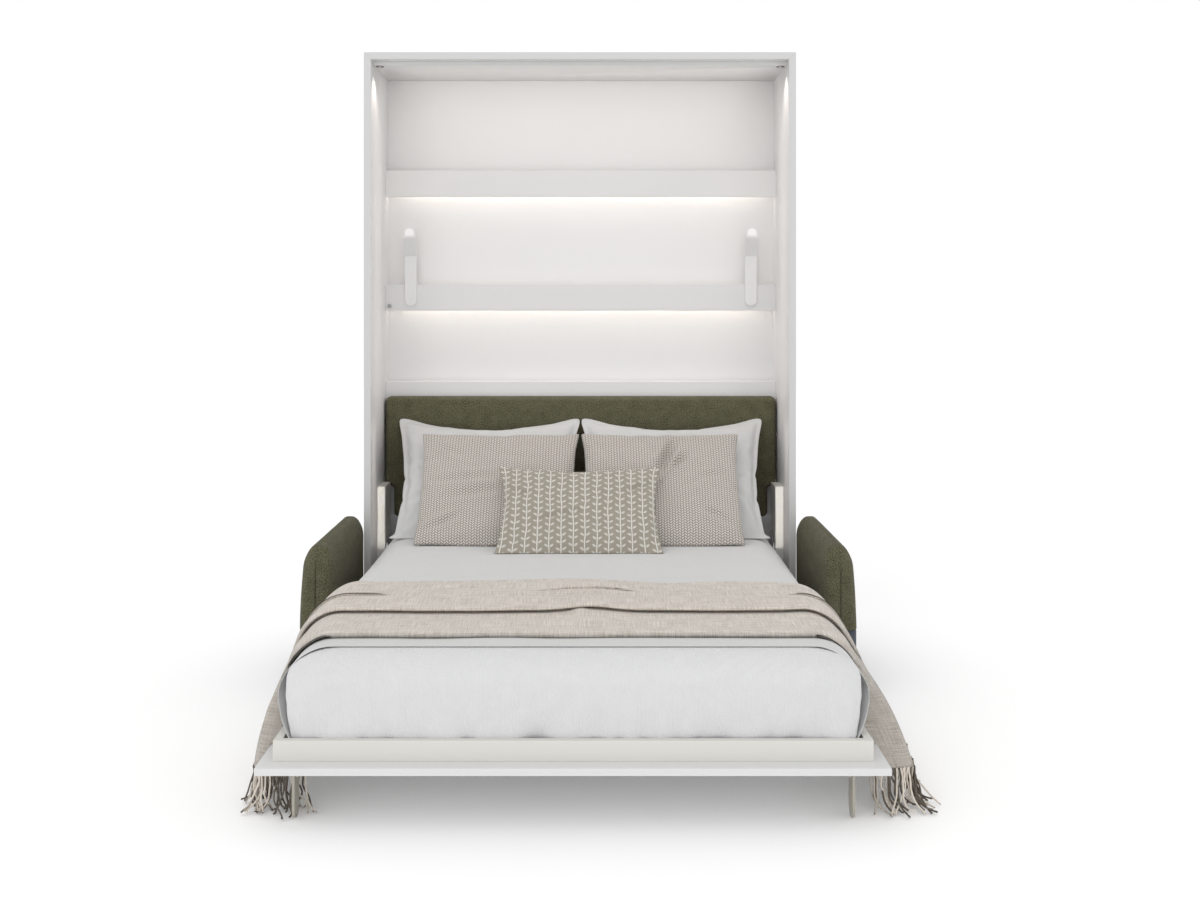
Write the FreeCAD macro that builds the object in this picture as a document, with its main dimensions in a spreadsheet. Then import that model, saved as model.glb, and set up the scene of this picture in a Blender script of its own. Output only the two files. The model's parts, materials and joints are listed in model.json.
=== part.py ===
import FreeCAD, Part
import math
import os
import Sketcher
from FreeCAD import Placement, Rotation, Vector

doc = FreeCAD.newDocument("folding_bed")
sheet = doc.addObject("Spreadsheet::Sheet", "Sheet")

# Driving dimensions in mm and degrees. "Forward" is measured from the cabinet front plane towards the foot of the bed.
CELLS = {
    "cab_depth": 460,
    "board": 25,
    "pivot_back": 187,
    "panel_clear": 146,
    "panel_thick": 18,
    "panel_gap": 4,
    "panel_gap_top": 5,
    "panel_low": 85,
    "foot_inset": 47,
    "rail_thick": 20,
    "rail_height": 50,
    "rail_inset": 33,
    "back_depth": 400,
    "back_thick": 16,
    "back_low": 420,
    "toe_forward": 20,
    "toe_thick": 18,
    "toe_height": 50,
    "low_rail_thick": 12,
    "low_rail_low": 285,
    "low_rail_height": 135,
    "stop_thick": 14,
    "stop_inset": 50,
    "lip_depth": 340,
    "lip_thick": 16,
    "lip_height": 103,
    "lip_rise": 277,
    "ledge_raise": 43,
    "ledge_thick": 16,
    "channel_side": 20,
    "channel_back": 6,
    "channel_width": 16,
    "channel_height": 10,
    "channel_wall": 2,
    "wall_hole_r": 5,
    "wall_hole_inset": 165,
    "head_low": 430,
    "head_height": 466,
    "head_depth": 285,
    "head_thick": 60,
    "head_side": 6,
    "head_notch": 33,
    "core_thick": 18,
    "core_inset": 14,
    "head_notch_height": 138,
    "carrier_top": 953,
    "post_front": 144,
    "post_back": 268,
    "post_low": 190,
    "post_top": 570,
    "pivot_r": 12,
    "bush_r": 16,
    "bush_clear": 0.05,
    "crank": 60,
    "crank_r": 5,
    "plate_thick": 5,
    "plate_gap": 2,
    "spring_forward": 238,
    "spring_r": 10,
    "spring_length": 122,
    "spring_end": 6,
    "piston_length": 12,
    "rod_r": 4,
    "spot_side": 22,
    "spot_forward": 72,
    "spot_r": 15,
    "lamp_inset": 99,
    "lamp_width": 46,
    "lamp_thick": 6,
    "lamp_reach": 39,
    "lamp_foot": 20,
    "lamp_straight": 194,
    "lamp_slope": 71,
    "lamp_head": 41,
    "lamp_touch": 62,
    "button_inset": 15,
    "button_rise": 19,
    "button_r": 8,
    "arm_thick": 103,
    "arm_length": 580,
    "arm_top": 485,
    "arm_round": 33,
    "arm_taper": 110,
    "arm_foot": 20,
    "arm_base_top": 213,
    "base_width": 28,
    "base_low": 12,
    "base_high": 72,
    "link_length": 300,
    "link_angle": 3,
    "link_rear": 50,
    "link_pitch": 330,
    "link_pivot_z": 40,
    "link_r": 13,
    "link_thick": 8,
    "link_pin_r": 5,
    "link_gap": 6,
    "seat_depth": 560,
    "seat_heel": 137.5,
    "seat_thick": 30,
    "seat_pad": 65,
    "leg_inset": 71,
    "leg_back": 122,
    "leg_width": 50,
    "leg_thick": 7,
    "leg_drop": 28,
    "mattress_half": 695,
    "mattress_length": 1990,
    "mattress_side_gap": 13,
    "mattress_end_gap": 4,
    "mattress_low": 196,
    "mattress_thick": 216,
    "mattress_round": 88,
    "slat_width": 60,
    "slat_thick": 12,
    "slat_rear": 55,
    "slat_front": 63,
    "cover_thick": 8,
    "cover_rear": 215,
    "cover_back": 77,
    "throw_back": 71,
    "throw_part": 0.3207,
    "throw_thick": 14,
    "throw_fold": 326,
    "throw_hem": 104,
    "throw_reach": 74,
    "pillow_split": 20,
    "pillow_edge": 11,
    "pillow_tall": 516,
    "pillow_thick": 108,
    "square_wide": 560,
    "square_tall": 505,
    "square_thick": 88,
    "lumbar_wide": 566,
    "lumbar_tall": 346,
    "lumbar_thick": 78,
    "square_split": 17,
    "pillow_clear": 20.5,
    "lean_gap": 5,
    "rest_gap": 0.8,
    "lean": 44,
    "square_lean": 46,
}
V = {}


class Size:
    """A number with the sheet expression that gives it."""

    def __init__(self, value, text):
        self.value = value
        self.text = text

    def __add__(self, other):
        other = size(other)
        return Size(self.value + other.value, f"({self.text} + {other.text})")

    def __radd__(self, other):
        return size(other) + self

    def __sub__(self, other):
        other = size(other)
        return Size(self.value - other.value, f"({self.text} - {other.text})")

    def __rsub__(self, other):
        return size(other) - self

    def __mul__(self, other):
        other = size(other)
        return Size(self.value * other.value, f"({self.text} * {other.text})")

    def __rmul__(self, other):
        return size(other) * self

    def __truediv__(self, other):
        other = size(other)
        return Size(self.value / other.value, f"({self.text} / {other.text})")

    def __neg__(self):
        return Size(-self.value, f"(0 - {self.text})")


def size(number):
    if isinstance(number, Size):
        return number
    return Size(float(number), f"({float(number)!r})")


def sine(angle):
    angle = size(angle)
    return Size(math.sin(math.radians(angle.value)), f"sin({angle.text} * 1 deg)")


def cosine(angle):
    angle = size(angle)
    return Size(math.cos(math.radians(angle.value)), f"cos({angle.text} * 1 deg)")


for row, (name, number) in enumerate(CELLS.items(), 1):
    sheet.set(f"A{row}", name)
    sheet.set(f"B{row}", str(number))
    sheet.setAlias(f"B{row}", name)
    V[name] = Size(float(number), f"Sheet.{name}")
doc.recompute()

TURN = {
    "XY": Rotation(),
    "XZ": Rotation(Vector(1, 0, 0), 90),
    "YZ": Rotation(Vector(1, 1, 1), 120),
}
ALONG_X = Rotation(Vector(0, 1, 0), 90)
ALONG_Y = Rotation(Vector(1, 0, 0), -90)
ALONG_Z = Rotation()
nodes = {}


def bind(obj, prop, number):
    number = size(number)
    obj.setExpression(prop, number.text)


def place(obj, x, y, z, turn=None):
    x = size(x)
    y = size(y)
    z = size(z)
    obj.Placement = Placement(Vector(x.value, y.value, z.value), turn or Rotation())
    bind(obj, "Placement.Base.x", x)
    bind(obj, "Placement.Base.y", y)
    bind(obj, "Placement.Base.z", z)


def node(name, obj):
    obj.Label = name
    nodes[name] = obj
    return obj


def block(name, x0, x1, f0, f1, z0, z1):
    """A box between two X, two forward and two Z positions."""
    box = doc.addObject("Part::Box", name)
    bind(box, "Length", size(x1) - x0)
    bind(box, "Width", size(f1) - f0)
    bind(box, "Height", size(z1) - z0)
    place(box, x0, FRONT - f1, z0)
    return box


def rod(name, x, forward, z, radius, length, turn):
    """A cylinder that starts at a point and runs along the turned Z axis."""
    cylinder = doc.addObject("Part::Cylinder", name)
    bind(cylinder, "Radius", radius)
    bind(cylinder, "Height", length)
    place(cylinder, x, FRONT - forward, z, turn)
    return cylinder


def join(name, shapes):
    fused = doc.addObject("Part::MultiFuse", name)
    fused.Shapes = shapes
    fused.Refine = True
    return fused


def less(name, base, tools):
    cut = doc.addObject("Part::Cut", name)
    cut.Base = base
    cut.Tool = tools[0] if len(tools) == 1 else join(name + "_tools", tools)
    return cut


def group(name, shapes):
    compound = doc.addObject("Part::Compound", name)
    compound.Links = shapes
    return compound


def mirrored(name, source):
    mirror = doc.addObject("Part::Mirroring", name)
    mirror.Source = source
    mirror.Normal = Vector(1, 0, 0)
    mirror.Base = Vector(0, 0, 0)
    return mirror


def at(sketch, geo, pos, x, y):
    """Hold one sketch point at bound coordinates."""
    for axis, kind, number in ((-2, "DistanceX", size(x)), (-1, "DistanceY", size(y))):
        if abs(number.value) < 1e-9:
            sketch.addConstraint(Sketcher.Constraint("PointOnObject", geo, pos, axis))
            continue
        index = sketch.addConstraint(Sketcher.Constraint(kind, -1, 1, geo, pos, number.value))
        sketch.setExpression(f"Constraints[{index}]", number.text)


def outline(body, name, plane, points, holes=()):
    """A closed polygon, with round holes, drawn on one plane of a body."""
    sketch = body.newObject("Sketcher::SketchObject", name)
    sketch.Placement = Placement(Vector(), TURN[plane])
    points = [(size(x), size(y)) for x, y in points]
    count = len(points)
    for i in range(count):
        start = Vector(points[i][0].value, points[i][1].value, 0)
        following = points[(i + 1) % count]
        sketch.addGeometry(Part.LineSegment(start, Vector(following[0].value, following[1].value, 0)))
    for i in range(count):
        sketch.addConstraint(Sketcher.Constraint("Coincident", i, 2, (i + 1) % count, 1))
    for i in range(count):
        at(sketch, i, 1, *points[i])
    for x, y, radius in holes:
        x = size(x)
        y = size(y)
        radius = size(radius)
        circle = Part.Circle(Vector(x.value, y.value, 0), Vector(0, 0, 1), radius.value)
        geo = sketch.addGeometry(circle)
        at(sketch, geo, 3, x, y)
        index = sketch.addConstraint(Sketcher.Constraint("Radius", geo, radius.value))
        sketch.setExpression(f"Constraints[{index}]", radius.text)
    return sketch


def padded(name, plane, points, thick, where, holes=()):
    """A body with one padded outline, placed by its local origin."""
    body = doc.addObject("PartDesign::Body", name)
    pad = body.newObject("PartDesign::Pad", name + "_pad")
    pad.Profile = outline(body, name + "_outline", plane, points, holes)
    bind(pad, "Length", thick)
    place(body, *where)
    doc.recompute()
    return body, pad


def rounded(body, base, name, radius, wanted):
    """Fillets on the edges that pass a test of their middle point and direction."""
    picked = []
    for i, edge in enumerate(base.Shape.Edges, 1):
        middle = edge.valueAt((edge.FirstParameter + edge.LastParameter) / 2)
        if wanted(middle, edge):
            picked.append(f"Edge{i}")
    fillet = body.newObject("PartDesign::Fillet", name)
    fillet.Base = (base, picked)
    bind(fillet, "Radius", radius)
    doc.recompute()
    return fillet


def pocketed(body, name, plane, points, depth, offset, reverse=False):
    """A pocket from an outline drawn on a shifted plane."""
    sketch = outline(body, name + "_outline", plane, points)
    normal = TURN[plane].multVec(Vector(0, 0, 1))
    offset = size(offset)
    for axis in "xyz":
        part = getattr(normal, axis)
        if abs(part) > 0.5:
            bind(sketch, f"Placement.Base.{axis}", offset * part)
    pocket = body.newObject("PartDesign::Pocket", name)
    pocket.Profile = sketch
    pocket.Reversed = reverse
    bind(pocket, "Length", depth)
    doc.recompute()
    return pocket


def lens(body, name, station, half_height, half_thick):
    """A section of a stuffed piece: two arcs that meet in the seam at top and bottom."""
    sketch = body.newObject("Sketcher::SketchObject", name)
    sketch.Placement = Placement(Vector(station.value, 0, 0), TURN["YZ"])
    bind(sketch, "Placement.Base.x", station)
    h = half_height.value
    t = half_thick.value
    radius = (half_height * half_height + half_thick * half_thick) / (2 * half_thick)
    sides = []
    for side in (1, -1):
        arc = Part.Arc(Vector(0, -side * h, 0), Vector(side * t, 0, 0), Vector(0, side * h, 0))
        sides.append(sketch.addGeometry(arc))
    sketch.addConstraint(Sketcher.Constraint("Coincident", 0, 2, 1, 1))
    sketch.addConstraint(Sketcher.Constraint("Coincident", 1, 2, 0, 1))
    at(sketch, 0, 1, 0, -half_height)
    at(sketch, 0, 2, 0, half_height)
    for geo in sides:
        index = sketch.addConstraint(Sketcher.Constraint("Radius", geo, radius.value))
        sketch.setExpression(f"Constraints[{index}]", radius.text)
    return sketch


# Stations of a stuffed piece: part of the half width, of the half height and of the half thickness.
STUFFED = (
    (-1.0, 0.985, 0.05),
    (-0.86, 0.955, 0.42),
    (-0.5, 0.93, 0.86),
    (0.0, 0.925, 1.0),
    (0.5, 0.93, 0.86),
    (0.86, 0.955, 0.42),
    (1.0, 0.985, 0.05),
)


def stuffed(name, extent, x, forward, z, lean):
    """A pillow or cushion with a crown and drawn-in edges, leaning back by an angle from upright."""
    body = doc.addObject("PartDesign::Body", name)
    width, height, thick = extent
    sections = []
    for i, (along, tall, deep) in enumerate(STUFFED):
        station = width / 2 * along
        half_height = height / 2 * tall
        half_thick = thick / 2 * deep
        sections.append(lens(body, f"{name}_section{i}", station, half_height, half_thick))
    loft = body.newObject("PartDesign::AdditiveLoft", name + "_loft")
    loft.Profile = sections[0]
    loft.Sections = sections[1:]
    place(body, x, FRONT - forward, z, Rotation(Vector(1, 0, 0), -lean.value))
    return body


# The mattress sets the bed, and the bed sets the cabinet.
RAIL_IN = V["mattress_half"] + V["mattress_side_gap"]
RAIL_OUT = RAIL_IN + V["rail_thick"]
PANEL_HALF = RAIL_OUT + V["rail_inset"]
INSIDE = PANEL_HALF + V["panel_gap"]
HALF = INSIDE + V["board"]
PIVOT_F = -V["pivot_back"]
PIVOT_Z = V["pivot_back"] + V["panel_clear"]
PANEL_TOP = V["panel_clear"] + V["panel_thick"]
PANEL_REAR = V["panel_low"] - PIVOT_Z - V["pivot_back"]
RAIL_TOP = PANEL_TOP + V["rail_height"]
MAT_REAR = PANEL_REAR + V["mattress_end_gap"]
MAT_FRONT = MAT_REAR + V["mattress_length"]
FOOT_REAR = MAT_FRONT + V["mattress_end_gap"]
FOOT_FRONT = FOOT_REAR + V["rail_thick"]
REACH = FOOT_FRONT + V["foot_inset"]
FRONT = (REACH - V["cab_depth"]) / 2
CEILING = V["panel_low"] + REACH - PANEL_REAR + V["panel_gap_top"]
HEIGHT = CEILING + V["board"]
BACK = -V["back_depth"]
LIP_LOWER = V["carrier_top"] + V["lip_rise"]
LEDGE_LOWER = LIP_LOWER + V["lip_height"]
LIP_UPPER = (LEDGE_LOWER + CEILING - V["stop_thick"]) / 2 + V["ledge_raise"] - V["lip_height"]

# Cabinet: sides and top meet in mitres, so the front shows one frame.
t = V["board"]
height = HEIGHT
side, _ = padded(
    "side_panel_right",
    "XZ",
    [(0, 0), (t, 0), (t, height), (0, height - t)],
    V["cab_depth"],
    (INSIDE, FRONT + V["cab_depth"], 0),
)
node("side_panel_right", side)
node("side_panel_left", mirrored("side_panel_left", side))
top, _ = padded(
    "top_panel",
    "XZ",
    [(t, 0), (2 * HALF - t, 0), (2 * HALF, t), (0, t)],
    V["cab_depth"],
    (-HALF, FRONT + V["cab_depth"], CEILING),
)
node("top_panel", top)

spot_x = INSIDE - V["spot_side"]
spot_low = CEILING - V["stop_thick"]
stop = block("stop_blank", -INSIDE, INSIDE, BACK, -V["stop_inset"], spot_low, CEILING)
spot_holes = []
rings = []
lenses = []
for tag, x in (("l", -spot_x), ("r", spot_x)):
    f = -V["spot_forward"]
    barrel_r = V["spot_r"] - 4
    spot_holes.append(rod(f"spot_hole_{tag}", x, f, spot_low - 1, barrel_r, 20, ALONG_Z))
    flange = rod(f"spot_flange_{tag}", x, f, spot_low - 4, V["spot_r"], 4, ALONG_Z)
    barrel = rod(f"spot_barrel_{tag}", x, f, spot_low - 4, barrel_r - 0.2, 15, ALONG_Z)
    hollow = rod(f"spot_hollow_{tag}", x, f, spot_low - 5, barrel_r - 2.5, 13, ALONG_Z)
    rings.append(less(f"spot_ring_{tag}", join(f"spot_body_{tag}", [flange, barrel]), [hollow]))
    lenses.append(rod(f"spot_lens_{tag}", x, f, spot_low - 2, barrel_r - 2.5, 3, ALONG_Z))
node("stop_board", less("stop_board", stop, spot_holes))
node("spot_rings", group("spot_rings", rings))
node("spot_lenses", group("spot_lenses", lenses))

# Back wall, with the rails behind it that the wall screws pass through behind the ledge lips.
back_rear = BACK - V["back_thick"]
back = block("back_blank", -INSIDE, INSIDE, back_rear, BACK, V["back_low"], CEILING)
wall = -V["cab_depth"]
rail_blanks = []
back_holes = []
wall_rails = []
for tag, low in (("upper", LIP_UPPER), ("lower", LIP_LOWER)):
    blank = block(f"wall_blank_{tag}", -INSIDE, INSIDE, wall, back_rear, low, low + V["lip_height"])
    holes = []
    for hand, x in (("l", V["wall_hole_inset"] - INSIDE), ("r", INSIDE - V["wall_hole_inset"])):
        z = low + V["lip_height"] / 2
        where = (x, BACK, z)
        holes.append(rod(f"wall_hole_{tag}_{hand}", *where, V["wall_hole_r"], V["cab_depth"], ALONG_Y))
        name = f"back_hole_{tag}_{hand}"
        back_holes.append(rod(name, x, BACK + 1, z, V["wall_hole_r"], V["back_thick"] + 2, ALONG_Y))
    wall_rails.append(less(f"wall_rail_{tag}", blank, holes))
node("back_panel", less("back_panel", back, back_holes))
node("wall_rails", group("wall_rails", wall_rails))
low = V["low_rail_low"]
high = low + V["low_rail_height"]
node("low_rail", block("low_rail", -INSIDE, INSIDE, wall, wall + V["low_rail_thick"], low, high))
toe = -V["toe_forward"]
node("toe_board", block("toe_board", -INSIDE, INSIDE, toe - V["toe_thick"], toe, 0, V["toe_height"]))

# Two ledges: a board, a hanging lip and a light channel behind the lip.
lip_front = -V["lip_depth"]
lip_rear = lip_front - V["lip_thick"]
channels = []
diffusers = []
button_x = V["button_inset"] - INSIDE
button_z = LIP_LOWER + V["button_rise"]
channel_out = INSIDE - V["channel_side"]
channel_front = lip_rear - V["channel_back"]
channel_rear = channel_front - V["channel_width"]
skin = V["channel_wall"]
for tag, low in (("upper", LIP_UPPER), ("lower", LIP_LOWER)):
    high = low + V["lip_height"]
    under = high - V["ledge_thick"]
    channel_low = under - V["channel_height"]
    node(f"ledge_board_{tag}", block(f"ledge_board_{tag}", -INSIDE, INSIDE, BACK, lip_rear, under, high))
    if tag == "upper":
        lip = block("ledge_lip_upper", -INSIDE, INSIDE, lip_rear, lip_front, low, high)
    else:
        blank = block("lip_blank", -INSIDE, INSIDE, lip_rear, lip_front, low, high)
        bore = rod("button_hole", button_x, lip_front + 1, button_z, V["button_r"] + 0.2, 18, ALONG_Y)
        lip = less("ledge_lip_lower", blank, [bore])
    node(f"ledge_lip_{tag}", lip)
    channel = block(f"channel_{tag}", -channel_out, channel_out, channel_rear, channel_front, channel_low, under)
    groove = block(
        f"groove_{tag}",
        -channel_out - 1,
        channel_out + 1,
        channel_rear + skin,
        channel_front - skin,
        channel_low - 1,
        under - skin,
    )
    channels.append(less(f"light_channel_{tag}", channel, [groove]))
    diffusers.append(
        block(
            f"light_cover_{tag}",
            -channel_out,
            channel_out,
            channel_rear + skin,
            channel_front - skin,
            channel_low,
            channel_low + skin,
        )
    )
node("light_channels", group("light_channels", channels))
node("light_diffusers", group("light_diffusers", diffusers))
stem = rod("button_stem", button_x, lip_front + 3, button_z, V["button_r"], 20, ALONG_Y)
collar = rod("button_collar", button_x, lip_rear, button_z, V["button_r"] + 2, 3, ALONG_Y)
node("switch_button", join("switch_button", [stem, collar]))

# Reading lamps: one bent flat strip each, with a light plate on its head.
reach = V["lamp_reach"]
strip = V["lamp_thick"]
rise = V["lamp_straight"]
bend = rise + V["lamp_slope"]
tip = bend + V["lamp_head"]
profile = [
    (0, 0),
    (0, rise + 2),
    (-reach, bend + 2),
    (-reach, tip),
    (-reach - strip, tip),
    (-reach - strip, bend),
    (-strip, rise),
    (-strip, 0),
]
lamp_z = LIP_LOWER + V["lamp_foot"]
lamp_side = INSIDE - V["lamp_inset"]
lamp, lamp_pad = padded(
    "reading_lamp_right",
    "YZ",
    profile,
    V["lamp_width"],
    (lamp_side - V["lamp_width"] / 2, FRONT - lip_front, lamp_z),
)


def lamp_corner(p, edge):
    along_y = abs(edge.tangentAt(edge.FirstParameter).y) > 0.99
    return along_y and (p.z < 1 or p.z > tip.value - 1)


rounded(lamp, lamp_pad, "lamp_ends", V["lamp_width"] / 2 - 0.4, lamp_corner)
touch = rod("lamp_touch", lamp_side, lip_front + strip + 1, lamp_z + V["lamp_touch"], 3.5, 1.6, ALONG_Y)
lamp_right = less("reading_lamp_dimpled", lamp, [touch])
node("reading_lamp_right", lamp_right)
node("reading_lamp_left", mirrored("reading_lamp_left", lamp_right))
face = lip_front + reach + strip
half = V["lamp_width"] / 2 - 6
plate_high = tip - bend - 13
plate, plate_pad = padded(
    "lamp_plate_right",
    "XZ",
    [(0, 0), (2 * half, 0), (2 * half, plate_high), (0, plate_high)],
    1.5,
    (lamp_side - half, FRONT - face, lamp_z + bend + 7),
)


def plate_corner(p, edge):
    return abs(edge.tangentAt(edge.FirstParameter).y) > 0.99 and p.z > 1


rounded(plate, plate_pad, "lamp_plate_ends", half - 0.4, plate_corner)
node("lamp_diffusers", group("lamp_diffusers", [plate, mirrored("lamp_plate_left", plate)]))

# Headboard: a carrier box on the back wall, a core board and a pad that wraps it.
head_rear = -V["head_depth"] - V["head_thick"]
low = V["head_low"]
node("headboard_carrier", block("headboard_carrier", -INSIDE, INSIDE, BACK, head_rear, low, V["carrier_top"]))


def head_outline(inset):
    wide = 2 * (INSIDE - V["head_side"])
    notch = V["head_notch"]
    tall = V["head_height"]
    step = V["head_notch_height"]
    return [
        (notch + inset, inset),
        (wide - notch - inset, inset),
        (wide - notch - inset, step + inset - 25),
        (wide - inset, step + inset),
        (wide - inset, tall - inset),
        (inset, tall - inset),
        (inset, step + inset),
        (notch + inset, step + inset - 25),
    ]


core_thick = V["core_thick"]
head_x = V["head_side"] - INSIDE
core, _ = padded("headboard_core", "XZ", head_outline(V["core_inset"]), core_thick, (head_x, FRONT - head_rear, low))
node("headboard_core", core)
pad_body, pad = padded(
    "headboard_pad", "XZ", head_outline(size(0)), V["head_thick"], (head_x, FRONT - head_rear, low)
)


def head_corner(p, edge):
    return abs(edge.tangentAt(edge.FirstParameter).y) > 0.99


round_corners = rounded(pad_body, pad, "headboard_corners", 20, head_corner)


def head_front_edge(p, edge):
    return p.y < 1 - V["head_thick"].value


round_front = rounded(pad_body, round_corners, "headboard_front", 13, head_front_edge)
pocketed(pad_body, "headboard_recess", "XZ", head_outline(V["core_inset"]), core_thick, 0, True)
node("headboard_pad", pad_body)

# Lift housings beside the headboard: a bush for the pivot and a shaft for the upright gas spring.
post_in = RAIL_OUT + V["plate_thick"] + V["plate_gap"]
post_thick = INSIDE - post_in
post = block("post_blank", post_in, INSIDE, -V["post_back"], -V["post_front"], V["post_low"], V["post_top"])
spring_f = -V["spring_forward"]
shaft = block("post_shaft", post_in + 5, INSIDE + 1, spring_f - 24, spring_f + 24, V["post_low"] + 10, V["post_top"] - 8)
swing = V["crank"] * 0.70711
window = block(
    "post_window",
    post_in - 1,
    post_in + 6,
    PIVOT_F - V["crank"] - 9,
    PIVOT_F - swing + 9,
    PIVOT_Z - swing - 10,
    PIVOT_Z + swing + 10,
)
bore = rod("post_bore", post_in - 1, PIVOT_F, PIVOT_Z, V["bush_r"], post_thick + 2, ALONG_X)
housing = less("lift_housing_right", post, [shaft, window, bore])
node("lift_housing_right", housing)
node("lift_housing_left", mirrored("lift_housing_left", housing))
bush = less(
    "bush_right",
    rod("bush_blank", post_in, PIVOT_F, PIVOT_Z, V["bush_r"], post_thick, ALONG_X),
    [rod("bush_bore", post_in - 1, PIVOT_F, PIVOT_Z, V["pivot_r"] + V["bush_clear"], post_thick + 2, ALONG_X)],
)
node("pivot_bushes", group("pivot_bushes", [bush, mirrored("bush_left", bush)]))

# Gas springs: cylinder fixed under the housing top, rod with a piston and a slotted yoke for the crank pin.
spring_x = post_in + 17.5
spring_top = V["post_top"] - 8
spring_low = spring_top - V["spring_length"]
spring_end = V["spring_end"]
tube = rod("tube_blank", spring_x, spring_f, spring_low, V["spring_r"], V["spring_length"], ALONG_Z)
bore_length = V["spring_length"] - 2 * spring_end
tube_bore = rod("tube_bore", spring_x, spring_f, spring_low + spring_end, V["spring_r"] - 2, bore_length, ALONG_Z)
tube_neck = rod("tube_neck", spring_x, spring_f, spring_low - 1, V["rod_r"] + 0.1, spring_end + 3, ALONG_Z)
cylinder = less("gas_cylinder_right", tube, [tube_bore, tube_neck])
node("gas_cylinders", group("gas_cylinders", [cylinder, mirrored("gas_cylinder_left", cylinder)]))

slot_half = V["crank_r"] + 1.8
slot_z = PIVOT_Z + V["crank"] * 0.72257
yoke_half = slot_half + 7
yoke = block(
    "yoke_blank", post_in + 8, post_in + 27, spring_f - 21, spring_f + 21, slot_z - yoke_half, slot_z + yoke_half
)
slot = block(
    "yoke_slot",
    post_in + 7,
    post_in + 28,
    PIVOT_F - V["crank"] - V["crank_r"] - 1.5,
    PIVOT_F - swing + V["crank_r"] + 1.5,
    slot_z - slot_half,
    slot_z + slot_half,
)
rod_low = slot_z + yoke_half - 2
piston_top = spring_top - spring_end - 9
piston_low = piston_top - V["piston_length"]
stick = rod("rod_stick", spring_x, spring_f, rod_low, V["rod_r"], piston_top - rod_low, ALONG_Z)
piston = rod("rod_piston", spring_x, spring_f, piston_low, V["spring_r"] - 2.4, V["piston_length"], ALONG_Z)
gas_rod = join("gas_rod_right", [less("yoke_right", yoke, [slot]), stick, piston])
node("gas_rod_right", gas_rod)
node("gas_rod_left", mirrored("gas_rod_left", gas_rod))

# Bed: front panel that is the floor of the open bed, low frame, slats.
node(
    "front_panel",
    block("front_panel", -PANEL_HALF, PANEL_HALF, PANEL_REAR, REACH, V["panel_clear"], PANEL_TOP),
)
node("footboard", block("footboard", -RAIL_OUT, RAIL_OUT, FOOT_REAR, FOOT_FRONT, PANEL_TOP, RAIL_TOP))
rail = block("side_rail_right", RAIL_IN, RAIL_OUT, PANEL_REAR + 3, FOOT_REAR, PANEL_TOP, RAIL_TOP)
node("side_rail_right", rail)
node("side_rail_left", mirrored("side_rail_left", rail))
upright = block("stop_upright", -RAIL_IN, RAIL_IN, PANEL_REAR, PANEL_REAR + 3, PANEL_TOP, PANEL_TOP + 96)
flange = block("stop_flange", -RAIL_IN, RAIL_IN, PANEL_REAR, PANEL_REAR + 40, PANEL_TOP, PANEL_TOP + 3)
node("mattress_stop", join("mattress_stop", [upright, flange]))
slat_low = V["mattress_low"] - V["slat_thick"]
node("centre_rail", block("centre_rail", -20, 20, PANEL_REAR + 40, FOOT_REAR, PANEL_TOP, slat_low))
slats = []
holders = []
SLATS = 14
first_slat = PANEL_REAR + V["slat_rear"]
last_slat = FOOT_REAR - V["slat_front"] - V["slat_width"]
for i in range(SLATS):
    start = first_slat + (last_slat - first_slat) * i / (SLATS - 1)
    end = start + V["slat_width"]
    slats.append(block(f"slat_{i}", 4 - RAIL_IN, RAIL_IN - 4, start, end, slat_low, V["mattress_low"]))
    for hand, x0, x1 in (("l", -RAIL_IN, 30 - RAIL_IN), ("r", RAIL_IN - 30, RAIL_IN)):
        holders.append(block(f"holder_{i}_{hand}", x0, x1, start + 6, end - 6, slat_low - 12, slat_low))
node("slats", group("slats", slats))
node("slat_holders", group("slat_holders", holders))

# Pivot arms: a plate on the rail with the pivot pin and the crank pin.
plate_origin = (RAIL_OUT, FRONT - PIVOT_F, PIVOT_Z)
rail_drop = PANEL_TOP + 2 - PIVOT_Z
rail_rise = RAIL_TOP - 1 - PIVOT_Z
plate, _ = padded(
    "arm_plate",
    "YZ",
    [
        (133, rail_drop),
        (133, rail_rise),
        (112, -72),
        (swing + 18, swing - 14),
        (swing + 16, swing + 10),
        (swing - 4, swing + 18),
        (-6, 34),
        (-30, 22),
        (-97, rail_rise),
        (-97, rail_drop),
    ],
    V["plate_thick"],
    plate_origin,
)
pin_x = RAIL_OUT + V["plate_thick"] - 1
pin = rod("arm_pin", pin_x, PIVOT_F, PIVOT_Z, V["pivot_r"], post_thick + 1, ALONG_X)
crank_pin = rod("arm_crank_pin", pin_x, PIVOT_F - swing, PIVOT_Z + swing, V["crank_r"], 26, ALONG_X)
pivot_arm = join("pivot_arm_right", [plate, pin, crank_pin])
node("pivot_arm_right", pivot_arm)
node("pivot_arm_left", mirrored("pivot_arm_left", pivot_arm))

# Legs: flat bars with round ends, hung from brackets under the panel.
leg_f = REACH - V["leg_back"]
leg_z = V["panel_clear"] - V["leg_drop"]
leg_r = V["leg_width"] / 2
leg_low = PANEL_HALF - V["leg_inset"] - V["leg_thick"] / 2
middle_bar = block("leg_bar", leg_low, leg_low + V["leg_thick"], leg_f - leg_r, leg_f + leg_r, leg_r, leg_z)
upper_end = rod("leg_upper", leg_low, leg_f, leg_z, leg_r, V["leg_thick"], ALONG_X)
lower_end = rod("leg_lower", leg_low, leg_f, leg_r, leg_r, V["leg_thick"], ALONG_X)
leg_hole = rod("leg_hole", leg_low - 1, leg_f, leg_z, 5.05, V["leg_thick"] + 2, ALONG_X)
leg = less("leg_right", join("leg_solid", [middle_bar, upper_end, lower_end]), [leg_hole])
node("leg_right", leg)
node("leg_left", mirrored("leg_left", leg))
brackets = []
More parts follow.
